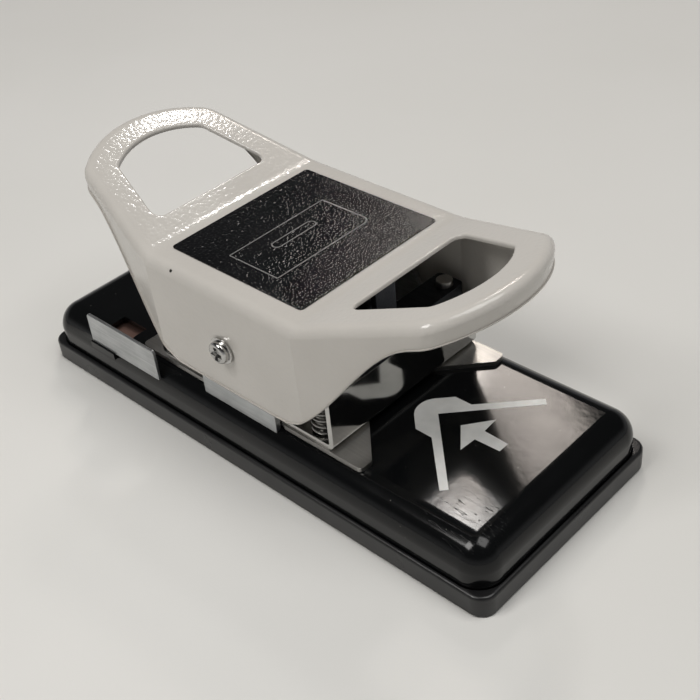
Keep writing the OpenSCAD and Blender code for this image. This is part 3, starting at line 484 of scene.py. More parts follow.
@dataclass
class MeshDraft:
    """Points and faces of one piece while it is drawn, in millimetres."""

    points: list[Point] = field(default_factory=list)
    faces: list[tuple[int, ...]] = field(default_factory=list)

    def ring(self, points: Sequence[Point]) -> list[int]:
        """Adds points.

        Args:
            points: The points, in order round the ring.

        Returns:
            Their numbers.
        """
        start = len(self.points)
        self.points.extend(points)
        return list(range(start, len(self.points)))

    def skin(self, rings: Sequence[Sequence[int]]) -> None:
        """Joins closed rings of equal count, each to the next, by bands of quads.

        Args:
            rings: The rings, as numbers of points.
        """
        for low, high in zip(rings, rings[1:]):
            for i, j in zip(range(len(low)), [*range(1, len(low)), 0]):
                self.faces.append((low[i], low[j], high[j], high[i]))

    def fill(self, loops: Sequence[Sequence[int]]) -> None:
        """Fills a face, flat seen from above.

        Args:
            loops: Its outer loop, then the loops of its holes.
        """
        numbers = [i for loop in loops for i in loop]
        flat = [[Vector((*self.points[i][:2], 0.0)) for i in loop] for loop in loops]
        for corners in tessellate_polygon(flat):
            self.faces.append(tuple(numbers[i] for i in corners))

    def close(self, rings: Sequence[Sequence[int]]) -> None:
        """Joins rings and fills the first and the last, so that they make a closed body.

        Args:
            rings: The rings, as numbers of points.
        """
        self.skin(rings)
        self.fill([rings[0]])
        self.fill([rings[-1]])

    def turned(self, section: Sequence[Flat]) -> None:
        """Turns half of a section about the upright axis into a closed body.

        Args:
            section: Radius and height of each point, from one end of the axis to the other.
        """
        rings = []
        for radius, z in section:
            circle = arc((0.0, 0.0), radius, 0, 360, TURN_STEPS)[:-1]
            rings.append(self.ring([(x, y, z) for x, y in circle]))
        self.close(rings)

    def prism(self, loops: Sequence[Sequence[Flat]], low: float, high: float) -> None:
        """Adds a flat plate with holes.

        Args:
            loops: Its outline, then those of its holes.
            low: The height of its lower face.
            high: The height of its upper face.
        """
        floors = []
        for z in (low, high):
            floors.append([self.ring([(x, y, z) for x, y in loop]) for loop in loops])
            self.fill(floors[-1])
        for bottom, top in zip(*floors):
            self.skin([bottom, top])

    def piece(self, name: str, sharp: float = SHARP_ANGLE) -> bpy.types.Object:
        """Turns the draft into an object with its faces outwards.

        Args:
            name: The object's name.
            sharp: The angle over which an edge stays sharp, in degrees.

        Returns:
            The object.
        """
        mesh = bpy.data.meshes.new(name)
        mesh.from_pydata([Vector(p) * MM for p in self.points], [], self.faces)
        work = bmesh.new()
        work.from_mesh(mesh)
        bmesh.ops.remove_doubles(work, verts=work.verts, dist=MERGE)
        bmesh.ops.recalc_face_normals(work, faces=work.faces)
        work.to_mesh(mesh)
        work.free()
        piece = new_object(name, mesh)
        smooth(piece, sharp)
        return piece


def new_object(name: str, mesh: bpy.types.Mesh) -> bpy.types.Object:
    """Puts a mesh into the scene.

    Args:
        name: The object's name.
        mesh: Its mesh.

    Returns:
        The object.
    """
    piece = bpy.data.objects.new(name, mesh)
    bpy.context.scene.collection.objects.link(piece)
    return piece


def settle(piece: bpy.types.Object) -> None:
    """Turns a piece with its modifiers into a plain mesh.

    Args:
        piece: The piece.
    """
    graph = bpy.context.evaluated_depsgraph_get()
    mesh = bpy.data.meshes.new_from_object(
        piece.evaluated_get(graph), preserve_all_data_layers=True, depsgraph=graph)
    piece.modifiers.clear()
    piece.data = mesh


def smooth(piece: bpy.types.Object, sharp: float = SHARP_ANGLE) -> None:
    """Shades a piece smooth, and lets its broad faces lead where they meet a rounded edge.

    Args:
        piece: The piece.
        sharp: The angle over which an edge stays sharp, in degrees.
    """
    piece.data.shade_smooth()
    piece.data.set_sharp_from_angle(angle=math.radians(sharp))
    modifier = piece.modifiers.new("broad faces", "WEIGHTED_NORMAL")
    modifier.keep_sharp = True
    settle(piece)


def cut(piece: bpy.types.Object, cutter: bpy.types.Object) -> None:
    """Takes the space of a cutter out of a piece.

    Args:
        piece: The piece.
        cutter: The cutter. It is removed.
    """
    modifier = piece.modifiers.new("cut", "BOOLEAN")
    modifier.operation = "DIFFERENCE"
    modifier.solver = "EXACT"
    modifier.object = cutter
    settle(piece)
    bpy.data.objects.remove(cutter)
    smooth(piece)


def dress(piece: bpy.types.Object, finish: Finish, body: Body, *nodes: str) -> bpy.types.Object:
    """Gives a piece its finish and its body, and lets it stand for nodes of the frame.

    Args:
        piece: The piece.
        finish: Its finish.
        body: The body that it rides on.
        nodes: The nodes that it stands for.

    Returns:
        The piece.
    """
    piece.data.materials.clear()
    piece.data.materials.append(finish.material())
    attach(piece, body.value)
    if nodes:
        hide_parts(*nodes)
    log.info("%s in %s rides on %s", piece.name, finish.name, body.value)
    return piece


def arc(centre: Flat, radius: float, start: float, end: float, steps: int) -> list[Flat]:
    """Draws an arc.

    Args:
        centre: Its centre.
        radius: Its radius.
        start: Its first angle, in degrees.
        end: Its last angle, in degrees.
        steps: The number of chords.

    Returns:
        Its points.
    """
    angles = [math.radians(start + (end - start) * i / steps) for i in range(steps + 1)]
    return [(centre[0] + radius * math.cos(a), centre[1] + radius * math.sin(a)) for a in angles]


def rounded(low: Flat, high: Flat, radii: float | Sequence[float], steps: int = 8) -> list[Flat]:
    """Draws a rectangle with rounded corners.

    Args:
        low: Its lowest corner.
        high: Its highest corner.
        radii: One radius, or four from the corner of highest X and Y round to that of highest X.
        steps: The number of chords of a corner.

    Returns:
        Its points.
    """
    four = [radii] * 4 if isinstance(radii, (int, float)) else radii
    corners = [(1, 1, 0), (0, 1, 90), (0, 0, 180), (1, 0, 270)]
    points = []
    for (right, far, angle), r in zip(corners, four):
        x = high[0] - r if right else low[0] + r
        y = high[1] - r if far else low[1] + r
        points += arc((x, y), r, angle, angle + 90, steps)
    return points


def rounding(radius: float, steps: int) -> list[Flat]:
    """Gives the inset and drop of a rounded upper edge, from the face to the wall."""
    angles = [math.pi / 2 * i / steps for i in range(steps + 1)]
    return [(radius * (1 - math.sin(a)), radius * (1 - math.cos(a))) for a in angles]


def extent(node: str) -> tuple[Vector, Vector]:
    """Gives the lowest and highest corner of a node, in millimetres."""
    low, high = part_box(node)
    return low / MM, high / MM


@dataclass
class RockerHandle:
    """The pressed handle: one sheet with deep skirts, two raised loops and a finger hole in each."""

    sheet: float = 1.8
    top: float = 75.2
    bend: float = 35.3
    blend: float = 2.5
    slope: float = 18.0
    end_radius: float = 45.0
    corner_radius: float = 10.5
    taper: float = 14.0
    edge_radius: float = 4.0
    rim: float = 9.2
    skirt_flat: float = 25.5
    skirt_end: float = 74.5
    hole_start: float = 46.0
    rail: float = 12.3
    hole_corner: float = 3.5
    hole_edge: float = 0.8
    hem_edge: float = 0.6
    support: float = 0.6
    end_steps: int = 20
    corner_steps: int = 12
    side_steps: int = 14
    bend_steps: int = 5
    middle_steps: int = 6
    hole_steps: tuple[int, int, int] = (18, 8, 10)
    edge_steps: int = 8
    lining_steps: int = 6
    hem_steps: int = 4
    lip_steps: int = 5
    burr_steps: int = 3

    def __post_init__(self) -> None:
        """Takes the handle's reach and width from the frame."""
        low, high = extent("handle_shell")
        self.reach = high.x
        self.half_width = high.y
        self.skirt_low = low.z
        tilt = math.radians(self.taper)
        self.across = Vector((math.sin(tilt), math.cos(tilt)))
        self.along = Vector((math.cos(tilt), -math.sin(tilt)))
        self.side = self.across.dot(Vector((self.bend, self.half_width)))
        self.centre = self.reach - self.end_radius

    def height(self, x: float) -> float:
        """Gives the height of the upper face, level in the middle and rising past a soft bend.

        Args:
            x: The place along the handle.

        Returns:
            The height.
        """
        past = abs(x) - self.bend
        if abs(past) < self.blend:
            rise = (past + self.blend) ** 2 / (4 * self.blend)
        else:
            rise = max(past, 0.0)
        return self.top + math.tan(math.radians(self.slope)) * rise

    def hem(self, x: float) -> float:
        """Gives the height of the lower edge: a level skirt that sweeps up into the loop's rim.

        Args:
            x: The place along the handle.

        Returns:
            The height.
        """
        away = abs(x)
        if away <= self.skirt_flat:
            return self.skirt_low
        if away >= self.skirt_end:
            return self.height(away) - self.rim
        run = self.skirt_end - self.skirt_flat
        t = (away - self.skirt_flat) / run
        lift = self.height(self.skirt_end) - self.rim - self.skirt_low
        lean = run * math.tan(math.radians(self.slope))
        return self.skirt_low + lift * (3 * t * t - 2 * t ** 3) + lean * (t ** 3 - t * t)

    def corner(self, inset: float, radius: float) -> tuple[Vector, float]:
        """Finds the arc between the tapered side and the round end, both moved in.

        Args:
            inset: How far side and end are moved in.
            radius: The arc's radius there.

        Returns:
            The arc's centre, and its angle as seen from the end's centre, in degrees.
        """
        depth = self.side - inset - radius
        reach = self.end_radius - inset - radius
        run = self.centre * self.along.x + math.sqrt(
            reach ** 2 - (depth - self.centre * self.across.x) ** 2)
        centre = depth * self.across + run * self.along
        return centre, math.degrees(math.atan2(centre.y, centre.x - self.centre))

    def outline(self, inset: float) -> list[Flat]:
        """Draws the plan outline, moved in, from the front end round the far side.

        Args:
            inset: How far it is moved in.

        Returns:
            Its points.
        """
        corner, turn = self.corner(0.0, self.corner_radius)
        points = arc((self.centre, 0.0), self.end_radius - inset, 0, turn, self.end_steps)
        points += arc(corner, self.corner_radius - inset, turn, 90 - self.taper, self.corner_steps)[1:]
        mitre = inset * math.tan(math.radians(self.taper / 2))
        bend = Vector((self.bend - mitre, self.half_width - inset))
        rise = bend + (self.bend + self.blend - bend.x) / self.along.x * self.along
        flat = Vector((self.bend - self.blend, bend.y))
        middle = Vector((0.0, bend.y))
        stretches = [
            (rise, self.side_steps), (bend, self.bend_steps), (flat, self.bend_steps),
            (middle, self.middle_steps)]
        for goal, steps in stretches:
            start = Vector(points[-1])
            points += [tuple(start.lerp(goal, (i + 1) / steps)) for i in range(steps)]
        rear = [(-x, y) for x, y in reversed(points[:-1])]
        far = points + rear
        return far + [(x, -y) for x, y in reversed(far[1:-1])]

    def hole(self, grow: float, end: End) -> list[Flat]:
        """Draws a finger hole, grown outwards.

        Args:
            grow: How far it is grown.
            end: The end that it is in.

        Returns:
            Its points.
        """
        inset = self.rail - grow
        fillet = self.hole_corner + grow
        far, turn = self.corner(inset, fillet)
        x = self.hole_start - grow + fillet
        near = (x, (self.side - inset - fillet - self.across.x * x) / self.across.y)
        half = arc((self.centre, 0.0), self.end_radius - inset, 0, turn, self.hole_steps[0])
        half += arc(far, fillet, turn, 90 - self.taper, self.hole_steps[1])[1:]
        half += arc(near, fillet, 90 - self.taper, 180, self.hole_steps[2])
        loop = half + [(x, -y) for x, y in reversed(half[1:])]
        return [(end.value * x, y) for x, y in loop]

    def plate(self, draft: MeshDraft, ring: list[int], holes: dict[End, list[int]]) -> None:
        """Closes the upper plate inside a ring: a strip in the middle and a pierced plate at each end.

        Args:
            draft: The draft of the shell.
            ring: The ring.
            holes: The loop of the finger hole at each end.
        """
        count = len(ring)
        half = count // 2
        steps = self.end_steps + self.corner_steps + self.side_steps
        draft.fill([[ring[i] for i in range(-steps, steps + 1)], holes[End.CORNER]])
        draft.fill([[ring[i] for i in range(half - steps, half + steps + 1)], holes[End.SLOT]])
        for i in range(steps, half - steps):
            draft.faces.append((ring[i], ring[i + 1], ring[count - i - 1], ring[count - i]))

    def shell(self) -> bpy.types.Object:
        """Draws the whole shell, as one closed sheet.

        Returns:
            The piece.
        """
        draft = MeshDraft()
        inner = self.edge_radius - self.sheet
        edge = [(self.edge_radius + self.support, 0.0), *rounding(self.edge_radius, self.edge_steps)]
        fold = rounding(inner, self.lining_steps)
        lining = [(self.sheet + i, self.sheet + d) for i, d in reversed(fold)]
        lining.append((self.edge_radius + self.support, self.sheet))
        bead = rounding(self.hem_edge, self.hem_steps)
        hems = [(i, d) for d, i in reversed(bead)] + [(self.sheet - i, d) for d, i in bead]
        rings = []
        for inset, drop in edge:
            rings.append(draft.ring([(x, y, self.height(x) - drop) for x, y in self.outline(inset)]))
        for inset, lift in hems:
            rings.append(draft.ring([(x, y, self.hem(x) + lift) for x, y in self.outline(inset)]))
        for inset, drop in lining:
            rings.append(draft.ring([(x, y, self.height(x) - drop) for x, y in self.outline(inset)]))
        draft.skin(rings)
        upper, lower = {}, {}
        lip = [(self.hole_edge + self.support, 0.0), *rounding(self.hole_edge, self.lip_steps)]
        under = rounding(self.hole_edge / 2, self.burr_steps)
        burr = [(g, self.sheet - d) for g, d in reversed(under)]
        burr.append((self.hole_edge / 2 + self.support, self.sheet))
        for end in End:
            loops = [
                draft.ring([(x, y, self.height(x) - drop) for x, y in self.hole(grow, end)])
                for grow, drop in lip + burr]
            draft.skin(loops)
            upper[end], lower[end] = loops[0], loops[-1]
        self.plate(draft, rings[0], upper)
        self.plate(draft, rings[-1], lower)
        return draft.piece("rocker_handle")

    def build(self) -> None:
        """Makes the handle and dresses it."""
        dress(self.shell(), POWDER_COAT, Body.ROCKER, "handle_shell")


@dataclass
class LabelPlate:
    """The embossed label on the handle, with a plain line drawing of a card and its slot."""

    corner: float = 1.5
    edge: float = 0.12
    ink: float = 0.02
    stroke: float = 0.42
    least_radius: float = 0.05
    sharp_radius: float = 0.52
    edge_steps: int = 3
    card_low: Flat = (-10.7, -25.0)
    card_high: Flat = (12.8, 19.9)
    card_radius: float = 3.2
    slot_low: Flat = (-4.4, -12.5)
    slot_high: Flat = (-0.3, 7.6)

    def frame_line(self, draft: MeshDraft, low: Flat, high: Flat, radii: list[float], z: float) -> None:
        """Adds an even line round a rectangle with rounded corners.

        Args:
            draft: The draft of the drawing.
            low: The rectangle's lowest corner.
            high: Its highest corner.
            radii: Its four radii.
            z: The height that the line lies on.
        """
        s = self.stroke
        inner_radii = [max(r - s, self.least_radius) for r in radii]
        inside = rounded((low[0] + s, low[1] + s), (high[0] - s, high[1] - s), inner_radii)
        draft.prism([rounded(low, high, radii), inside], z, z + self.ink)

    def build(self) -> None:
        """Makes the plate and its drawing, and dresses them."""
        low, high = extent("label_plate")
        draft = MeshDraft()
        rings = []
        for inset, drop in rounding(self.edge, self.edge_steps):
            start = (low.x + inset, low.y + inset)
            stop = (high.x - inset, high.y - inset)
            loop = rounded(start, stop, self.corner - inset)
            rings.append(draft.ring([(x, y, high.z - drop) for x, y in loop]))
        loop = rounded(low.xy, high.xy, self.corner)
        rings.append(draft.ring([(x, y, low.z) for x, y in loop]))
        draft.close(rings)
        dress(draft.piece("label_film"), LABEL_FILM, Body.ROCKER, "label_plate")

        drawing = MeshDraft()
        radii = [self.card_radius, *[self.sharp_radius] * 3]
        self.frame_line(drawing, self.card_low, self.card_high, radii, high.z)
        stadium = (self.slot_high[0] - self.slot_low[0]) / 2
        self.frame_line(drawing, self.slot_low, self.slot_high, [stadium] * 4, high.z)
        dress(drawing.piece("card_drawing"), FADED_PRINT, Body.ROCKER)


@dataclass
class BaseShell:
    """The pressed base cover: a long sheet box with a round shoulder and windows in its top."""

    sheet: float = 1.5
    shoulder: float = 9.6
    corner: float = 9.8
    support: float = 0.1
    hem_edge: float = 0.3
    window_edge: float = 0.25
    window_corner: float = 0.5
    corner_steps: int = 16
    shoulder_steps: int = 20
    lining_steps: int = 12
    edge_steps: int = 3
    window_steps: int = 4
    windows: tuple[tuple[Flat, Flat], ...] = (
        ((12.3, -12.7), (33.7, 12.7)), ((-31.2, -10.7), (-20.8, 10.7)))
    notch: tuple[Flat, ...] = (
        (-80.45, -45.0), (-54.05, -45.0), (-54.05, -36.8), (-64.25, -36.8),
        (-64.25, -29.7), (-77.85, -29.7), (-77.85, -36.8), (-80.45, -36.8))
    notch_ends: Flat = (19.85, 26.0)
    tab_slot: tuple[Flat, ...] = ((-81.25, -45.0), (-66.8, -45.0), (-66.8, -34.3), (-81.25, -34.3))
    tab_ends: Flat = (17.5, 20.1)

    def loop(self, inset: float) -> list[Flat]:
        """Draws the plan outline, moved in.

        Args:
            inset: How far it is moved in.

        Returns:
            Its points.
        """
        x = self.half_length - inset
        y = self.half_width - inset
        return rounded((-x, -y), (x, y), self.corner - inset, self.corner_steps)

    def shell(self) -> bpy.types.Object:
        """Draws the cover with its windows, then cuts the notch of the side guide.

        Returns:
            The piece.
        """
        low, high = extent("base_shell")
        self.half_length = high.x
        self.half_width = high.y
        under = high.z - self.sheet
        draft = MeshDraft()
        inner = self.shoulder - self.sheet
        profile = [(self.shoulder + self.support, high.z)]
        profile += [(i, high.z - d) for i, d in rounding(self.shoulder, self.shoulder_steps)]
        bead = rounding(self.hem_edge, self.edge_steps)
        profile += [(i, low.z + d) for d, i in reversed(bead)]
        profile += [(self.sheet - i, low.z + d) for d, i in bead]
        fold = rounding(inner, self.lining_steps)
        profile += [(self.sheet + i, under - d) for i, d in reversed(fold)]
        profile.append((self.shoulder + self.support, under))
        rings = [draft.ring([(x, y, z) for x, y in self.loop(inset)]) for inset, z in profile]
        draft.skin(rings)
        tops, bottoms = [], []
        rim = [(g, high.z - d) for g, d in rounding(self.window_edge, self.edge_steps)] + [(0.0, under)]
        for start, stop in self.windows:
            loops = []
            for grow, z in rim:
                loop = rounded(
                    (start[0] - grow, start[1] - grow), (stop[0] + grow, stop[1] + grow),
                    self.window_corner + grow, self.window_steps)
                loops.append(draft.ring([(x, y, z) for x, y in loop]))
            draft.skin(loops)
            tops.append(loops[0])
            bottoms.append(loops[-1])
        draft.fill([rings[0], *tops])
        draft.fill([rings[-1], *bottoms])
        piece = draft.piece("base_cover")
        for plan, ends in ((self.notch, self.notch_ends), (self.tab_slot, self.tab_ends)):
            cutter = MeshDraft()
            cutter.prism([plan], *ends)
            cut(piece, cutter.piece("notch_cutter"))
        return piece

    def build(self) -> None:
        """Makes the cover and dresses it."""
        dress(self.shell(), ENAMEL, Body.BASE, "base_shell")


@dataclass
class CornerSign:
    """The printed sign on the base: a thick card corner with two arms, and an arrow into it."""

    ink: float = 0.03
    inner: float = 56.6
    arm_inner_end: Flat = (82.6, 26.1)
    arm_outer_end: Flat = (80.6, 28.2)
    arm_foot: Flat = (62.6, 10.6)
    block_end: Flat = (55.6, 10.5)
    block_radius: float = 8.0
    block_steps: int = 16
    arrow_tip: float = 66.4
    arrow_barb: Flat = (73.9, 9.4)
    arrow_notch: Flat = (74.4, 2.6)
    arrow_tail: Flat = (84.3, 2.2)

    def build(self) -> None:
        """Makes the two printed shapes and dresses them."""
        z = extent("base_shell")[1].z
        nose = self.block_end[0] - self.block_end[1] + self.block_radius * math.sqrt(2)
        half = [self.arm_inner_end, self.arm_outer_end, self.arm_foot, self.block_end]
        corner = arc((nose, 0.0), self.block_radius, 135, 225, self.block_steps)
        sign = [(self.inner, 0.0), *half, *corner, *[(x, -y) for x, y in reversed(half)]]
        barbs = [self.arrow_barb, self.arrow_notch, self.arrow_tail]
        arrow = [(self.arrow_tip, 0.0), *barbs, *[(x, -y) for x, y in reversed(barbs)]]
        draft = MeshDraft()
        draft.prism([sign], z, z + self.ink)
        draft.prism([arrow], z, z + self.ink)
        dress(draft.piece("corner_sign"), PRINT, Body.BASE)


@dataclass
class ChipTray:
    """The moulded tray under the base: a rounded lip, a ledge for the cover and a low floor."""

    corner: float = 6.0
    inner_corner: float = 9.95
    edge: float = 1.2
    lip: float = 1.45
    lip_edge: float = 0.2
    seat: float = 4.5
    ledge: float = 3.6
    floor: float = 3.0
    bottom_edge: float = 0.4
    foot_radius: float = 5.0
    foot_depth: float = 1.8
    foot_inset: float = 14.0
    corner_steps: int = 12
    edge_steps: int = 6
    small_edge_steps: int = 3

    def feet(self) -> list[Flat]:
        """Gives the places of the four feet.

        Returns:
            Their middles.
        """
        x = self.half_length - self.foot_inset
        y = self.half_width - self.foot_inset
        return [(x, y), (-x, y), (-x, -y), (x, -y)]

    def build(self) -> None:
        """Makes the tray and dresses it."""
        low, high = extent("chip_tray")
        self.half_length = high.x
        self.half_width = high.y
        draft = MeshDraft()
        outside = [(i, low.z + d) for i, d in rounding(self.bottom_edge, self.small_edge_steps)]
        outside += [(d, high.z - i) for i, d in rounding(self.edge, self.edge_steps)]
        lip = rounding(self.lip_edge, self.small_edge_steps)
        inside = [(self.lip - i, high.z - d) for i, d in lip]
        inside += [(self.lip, self.seat), (self.ledge, self.seat), (self.ledge, self.floor)]
        profile = [(inset, z, self.corner - inset) for inset, z in outside]
        profile += [(inset, z, self.inner_corner + min(self.lip - inset, 0.0)) for inset, z in inside]
        rings = []
        for inset, z, radius in profile:
            x = high.x - inset
            y = high.y - inset
            loop = rounded((-x, -y), (x, y), radius, self.corner_steps)
            rings.append(draft.ring([(u, v, z) for u, v in loop]))
        draft.skin(rings)
        sockets = []
        for place in self.feet():
            circle = arc(place, self.foot_radius, 0, 360, TURN_STEPS)[:-1]
            loops = [draft.ring([(x, y, z) for x, y in circle]) for z in (low.z, self.foot_depth)]
            draft.skin(loops)
            draft.fill([loops[1]])
            sockets.append(loops[0])
        draft.fill([rings[0], *sockets])
        draft.fill([rings[-1]])
        dress(draft.piece("tray_moulding"), MOULDED_ABS, Body.BASE, "chip_tray")


class PointTree:
    """The node tree that sets one part on every point of a mesh, turned to the point's axis."""

    @staticmethod
    def make() -> bpy.types.GeometryNodeTree:
        """Builds the tree.

        Returns:
            The tree.
        """
        tree = bpy.data.node_groups.new("parts on points", "GeometryNodeTree")
        tree.interface.new_socket("Points", in_out="INPUT", socket_type="NodeSocketGeometry")
        tree.interface.new_socket("Part", in_out="INPUT", socket_type="NodeSocketObject")
        tree.interface.new_socket("Finish", in_out="INPUT", socket_type="NodeSocketMaterial")
        tree.interface.new_socket("Parts", in_out="OUTPUT", socket_type="NodeSocketGeometry")
        given = add(tree, "NodeGroupInput")
        part = add(tree, "GeometryNodeObjectInfo", {"Object": given.outputs["Part"]})
        axis = add(tree, "GeometryNodeInputNamedAttribute", {"Name": "axis"}, data_type="FLOAT_VECTOR")
        turn = add(tree, "FunctionNodeAlignRotationToVector", {
            "Vector": axis.outputs["Attribute"]}, axis="Z")
        spread = add(tree, "GeometryNodeInstanceOnPoints", {
            "Points": given.outputs["Points"], "Instance": part.outputs["Geometry"],
            "Rotation": turn.outputs["Rotation"]})
        real = add(tree, "GeometryNodeRealizeInstances", {"Geometry": spread.outputs["Instances"]})
        painted = add(tree, "GeometryNodeSetMaterial", {
            "Geometry": real.outputs["Geometry"], "Material": given.outputs["Finish"]})
        add(tree, "NodeGroupOutput", {"Parts": painted.outputs["Geometry"]})
        return tree


class SpringTree:
    """The node tree that winds a wire into an open coil."""

    turn_steps: int = 40
    wire_steps: int = 14

    @staticmethod
    def make() -> bpy.types.GeometryNodeTree:
        """Builds the tree.

        Returns:
            The tree.
        """
        tree = bpy.data.node_groups.new("coil spring", "GeometryNodeTree")
        for name in ("Turns", "Coil Radius", "Wire Radius", "Height"):
            tree.interface.new_socket(name, in_out="INPUT", socket_type="NodeSocketFloat")
        tree.interface.new_socket("Foot", in_out="INPUT", socket_type="NodeSocketVector")
        tree.interface.new_socket("Finish", in_out="INPUT", socket_type="NodeSocketMaterial")
        tree.interface.new_socket("Spring", in_out="OUTPUT", socket_type="NodeSocketGeometry")
        given = add(tree, "NodeGroupInput")
        coil = add(tree, "GeometryNodeCurveSpiral", {
            "Resolution": SpringTree.turn_steps, "Rotations": given.outputs["Turns"],
            "Height": given.outputs["Height"],
            "Start Radius": given.outputs["Coil Radius"], "End Radius": given.outputs["Coil Radius"]})
        wire = add(tree, "GeometryNodeCurvePrimitiveCircle", {
            "Resolution": SpringTree.wire_steps, "Radius": given.outputs["Wire Radius"]})
        swept = add(tree, "GeometryNodeCurveToMesh", {
            "Curve": coil.outputs["Curve"], "Profile Curve": wire.outputs["Curve"], "Fill Caps": True})
        placed = add(tree, "GeometryNodeTransform", {
            "Geometry": swept.outputs["Mesh"], "Translation": given.outputs["Foot"]})
        real = add(tree, "GeometryNodeRealizeInstances", {"Geometry": placed.outputs["Geometry"]})
        painted = add(tree, "GeometryNodeSetMaterial", {
            "Geometry": real.outputs["Geometry"], "Material": given.outputs["Finish"]})
        add(tree, "NodeGroupOutput", {"Spring": painted.outputs["Geometry"]})
        return tree


def grow(piece: bpy.types.Object, tree: bpy.types.GeometryNodeTree, values: dict[str, object]) -> None:
    """Runs a node tree on a piece and keeps the result as a plain mesh.

    Args:
        piece: The piece.
        tree: The tree.
        values: The tree's inputs by name.
    """
    modifier = piece.modifiers.new(tree.name, "NODES")
    modifier.node_group = tree
    for item in tree.interface.items_tree:
        if item.item_type == "SOCKET" and item.in_out == "INPUT" and item.name in values:
            modifier[item.identifier] = values[item.name]
    settle(piece)


@dataclass
class PointSet:
    """Equal small parts that sit on points of one body and share one node."""

    node: str
    body: Body
    finish: Finish
    places: list[tuple[Point, Point]]

    def spread(self, tree: bpy.types.GeometryNodeTree, part: bpy.types.Object) -> None:
        """Sets the part on every place and dresses the result.

        Args:
            tree: The tree that sets parts on points.
            part: The part, upright at the origin. It is removed.
        """
        mesh = bpy.data.meshes.new(self.node + "_set")
        mesh.from_pydata([Vector(place) * MM for place, _ in self.places], [], [])
        axes = mesh.attributes.new("axis", "FLOAT_VECTOR", "POINT")
        for item, (_, axis) in zip(axes.data, self.places):
            item.vector = axis
        piece = new_object(self.node + "_set", mesh)
        grow(piece, tree, {"Part": part, "Finish": self.finish.material()})
        bpy.data.objects.remove(part)
        smooth(piece)
        dress(piece, self.finish, self.body, self.node)


@dataclass
class PanScrew:
    """A pan head screw with a cross recess, and with a fixed washer where it has one."""

    head: float
    head_height: float
    shank: float
    length: float
    washer: float = 0.0
    washer_height: float = 0.0
    recess: float = 0.7
    recess_depth: float = 0.7
    recess_arm: float = 0.1
    recess_foot: float = 0.45
    arm_taper: float = 0.6
    edge: float = 0.15
    point: float = 0.4
    dome_share: float = 0.62
    dome_turn: float = 78.0
    dome_steps: int = 8

    def profile(self) -> list[Flat]:
        """Draws half of the screw's section, from its point up to the middle of its head.

        Returns:
            Radius and height of each point.
        """
        r = self.shank / 2
        lines = [(r - self.point, -self.length), (r, self.point - self.length), (r, 0.0)]
        base = 0.0
        if self.washer:
            w = self.washer / 2
            base = self.washer_height
            lines += [(w - self.edge, 0.0), (w, self.edge), (w, base - self.edge), (w - self.edge, base)]
        h = self.head / 2
        dome = (self.head_height - base) * self.dome_share
        lines += [(h - self.edge, base), (h, base + self.edge)]
        shoulder = arc((h - dome, self.head_height - dome), dome, 0, self.dome_turn, self.dome_steps)
        return lines + shoulder

    def cross(self) -> bpy.types.Object:
        """Draws the tapered cross that is pressed into the head.

        Returns:
            The cutter.
        """
        draft = MeshDraft()
        loops = []
        top = self.head_height + self.edge
        bottom = self.head_height - self.recess_depth * self.head_height
        for share, z in ((1.0, top), (self.recess_foot, bottom)):
            a = share * self.recess * self.head / 2
            b = (1 - self.arm_taper + self.arm_taper * share) * self.recess_arm * self.head
            quarter = [(a, -b), (a, b), (b, b)]
            turned = [(quarter, 1, 0), (quarter, 0, 1), (quarter, -1, 0), (quarter, 0, -1)]
            plan = [(c * x - s * y, s * x + c * y) for points, c, s in turned for x, y in points]
            loops.append(draft.ring([(x, y, z) for x, y in plan]))
        draft.close(loops)
        return draft.piece("cross_cutter")

    def part(self) -> bpy.types.Object:
        """Turns the section and presses the cross.

        Returns:
            One screw, upright, with the seat of its head at the origin.
        """
        draft = MeshDraft()
        draft.turned(self.profile())
        screw = draft.piece("screw")
        cut(screw, self.cross())
        return screw


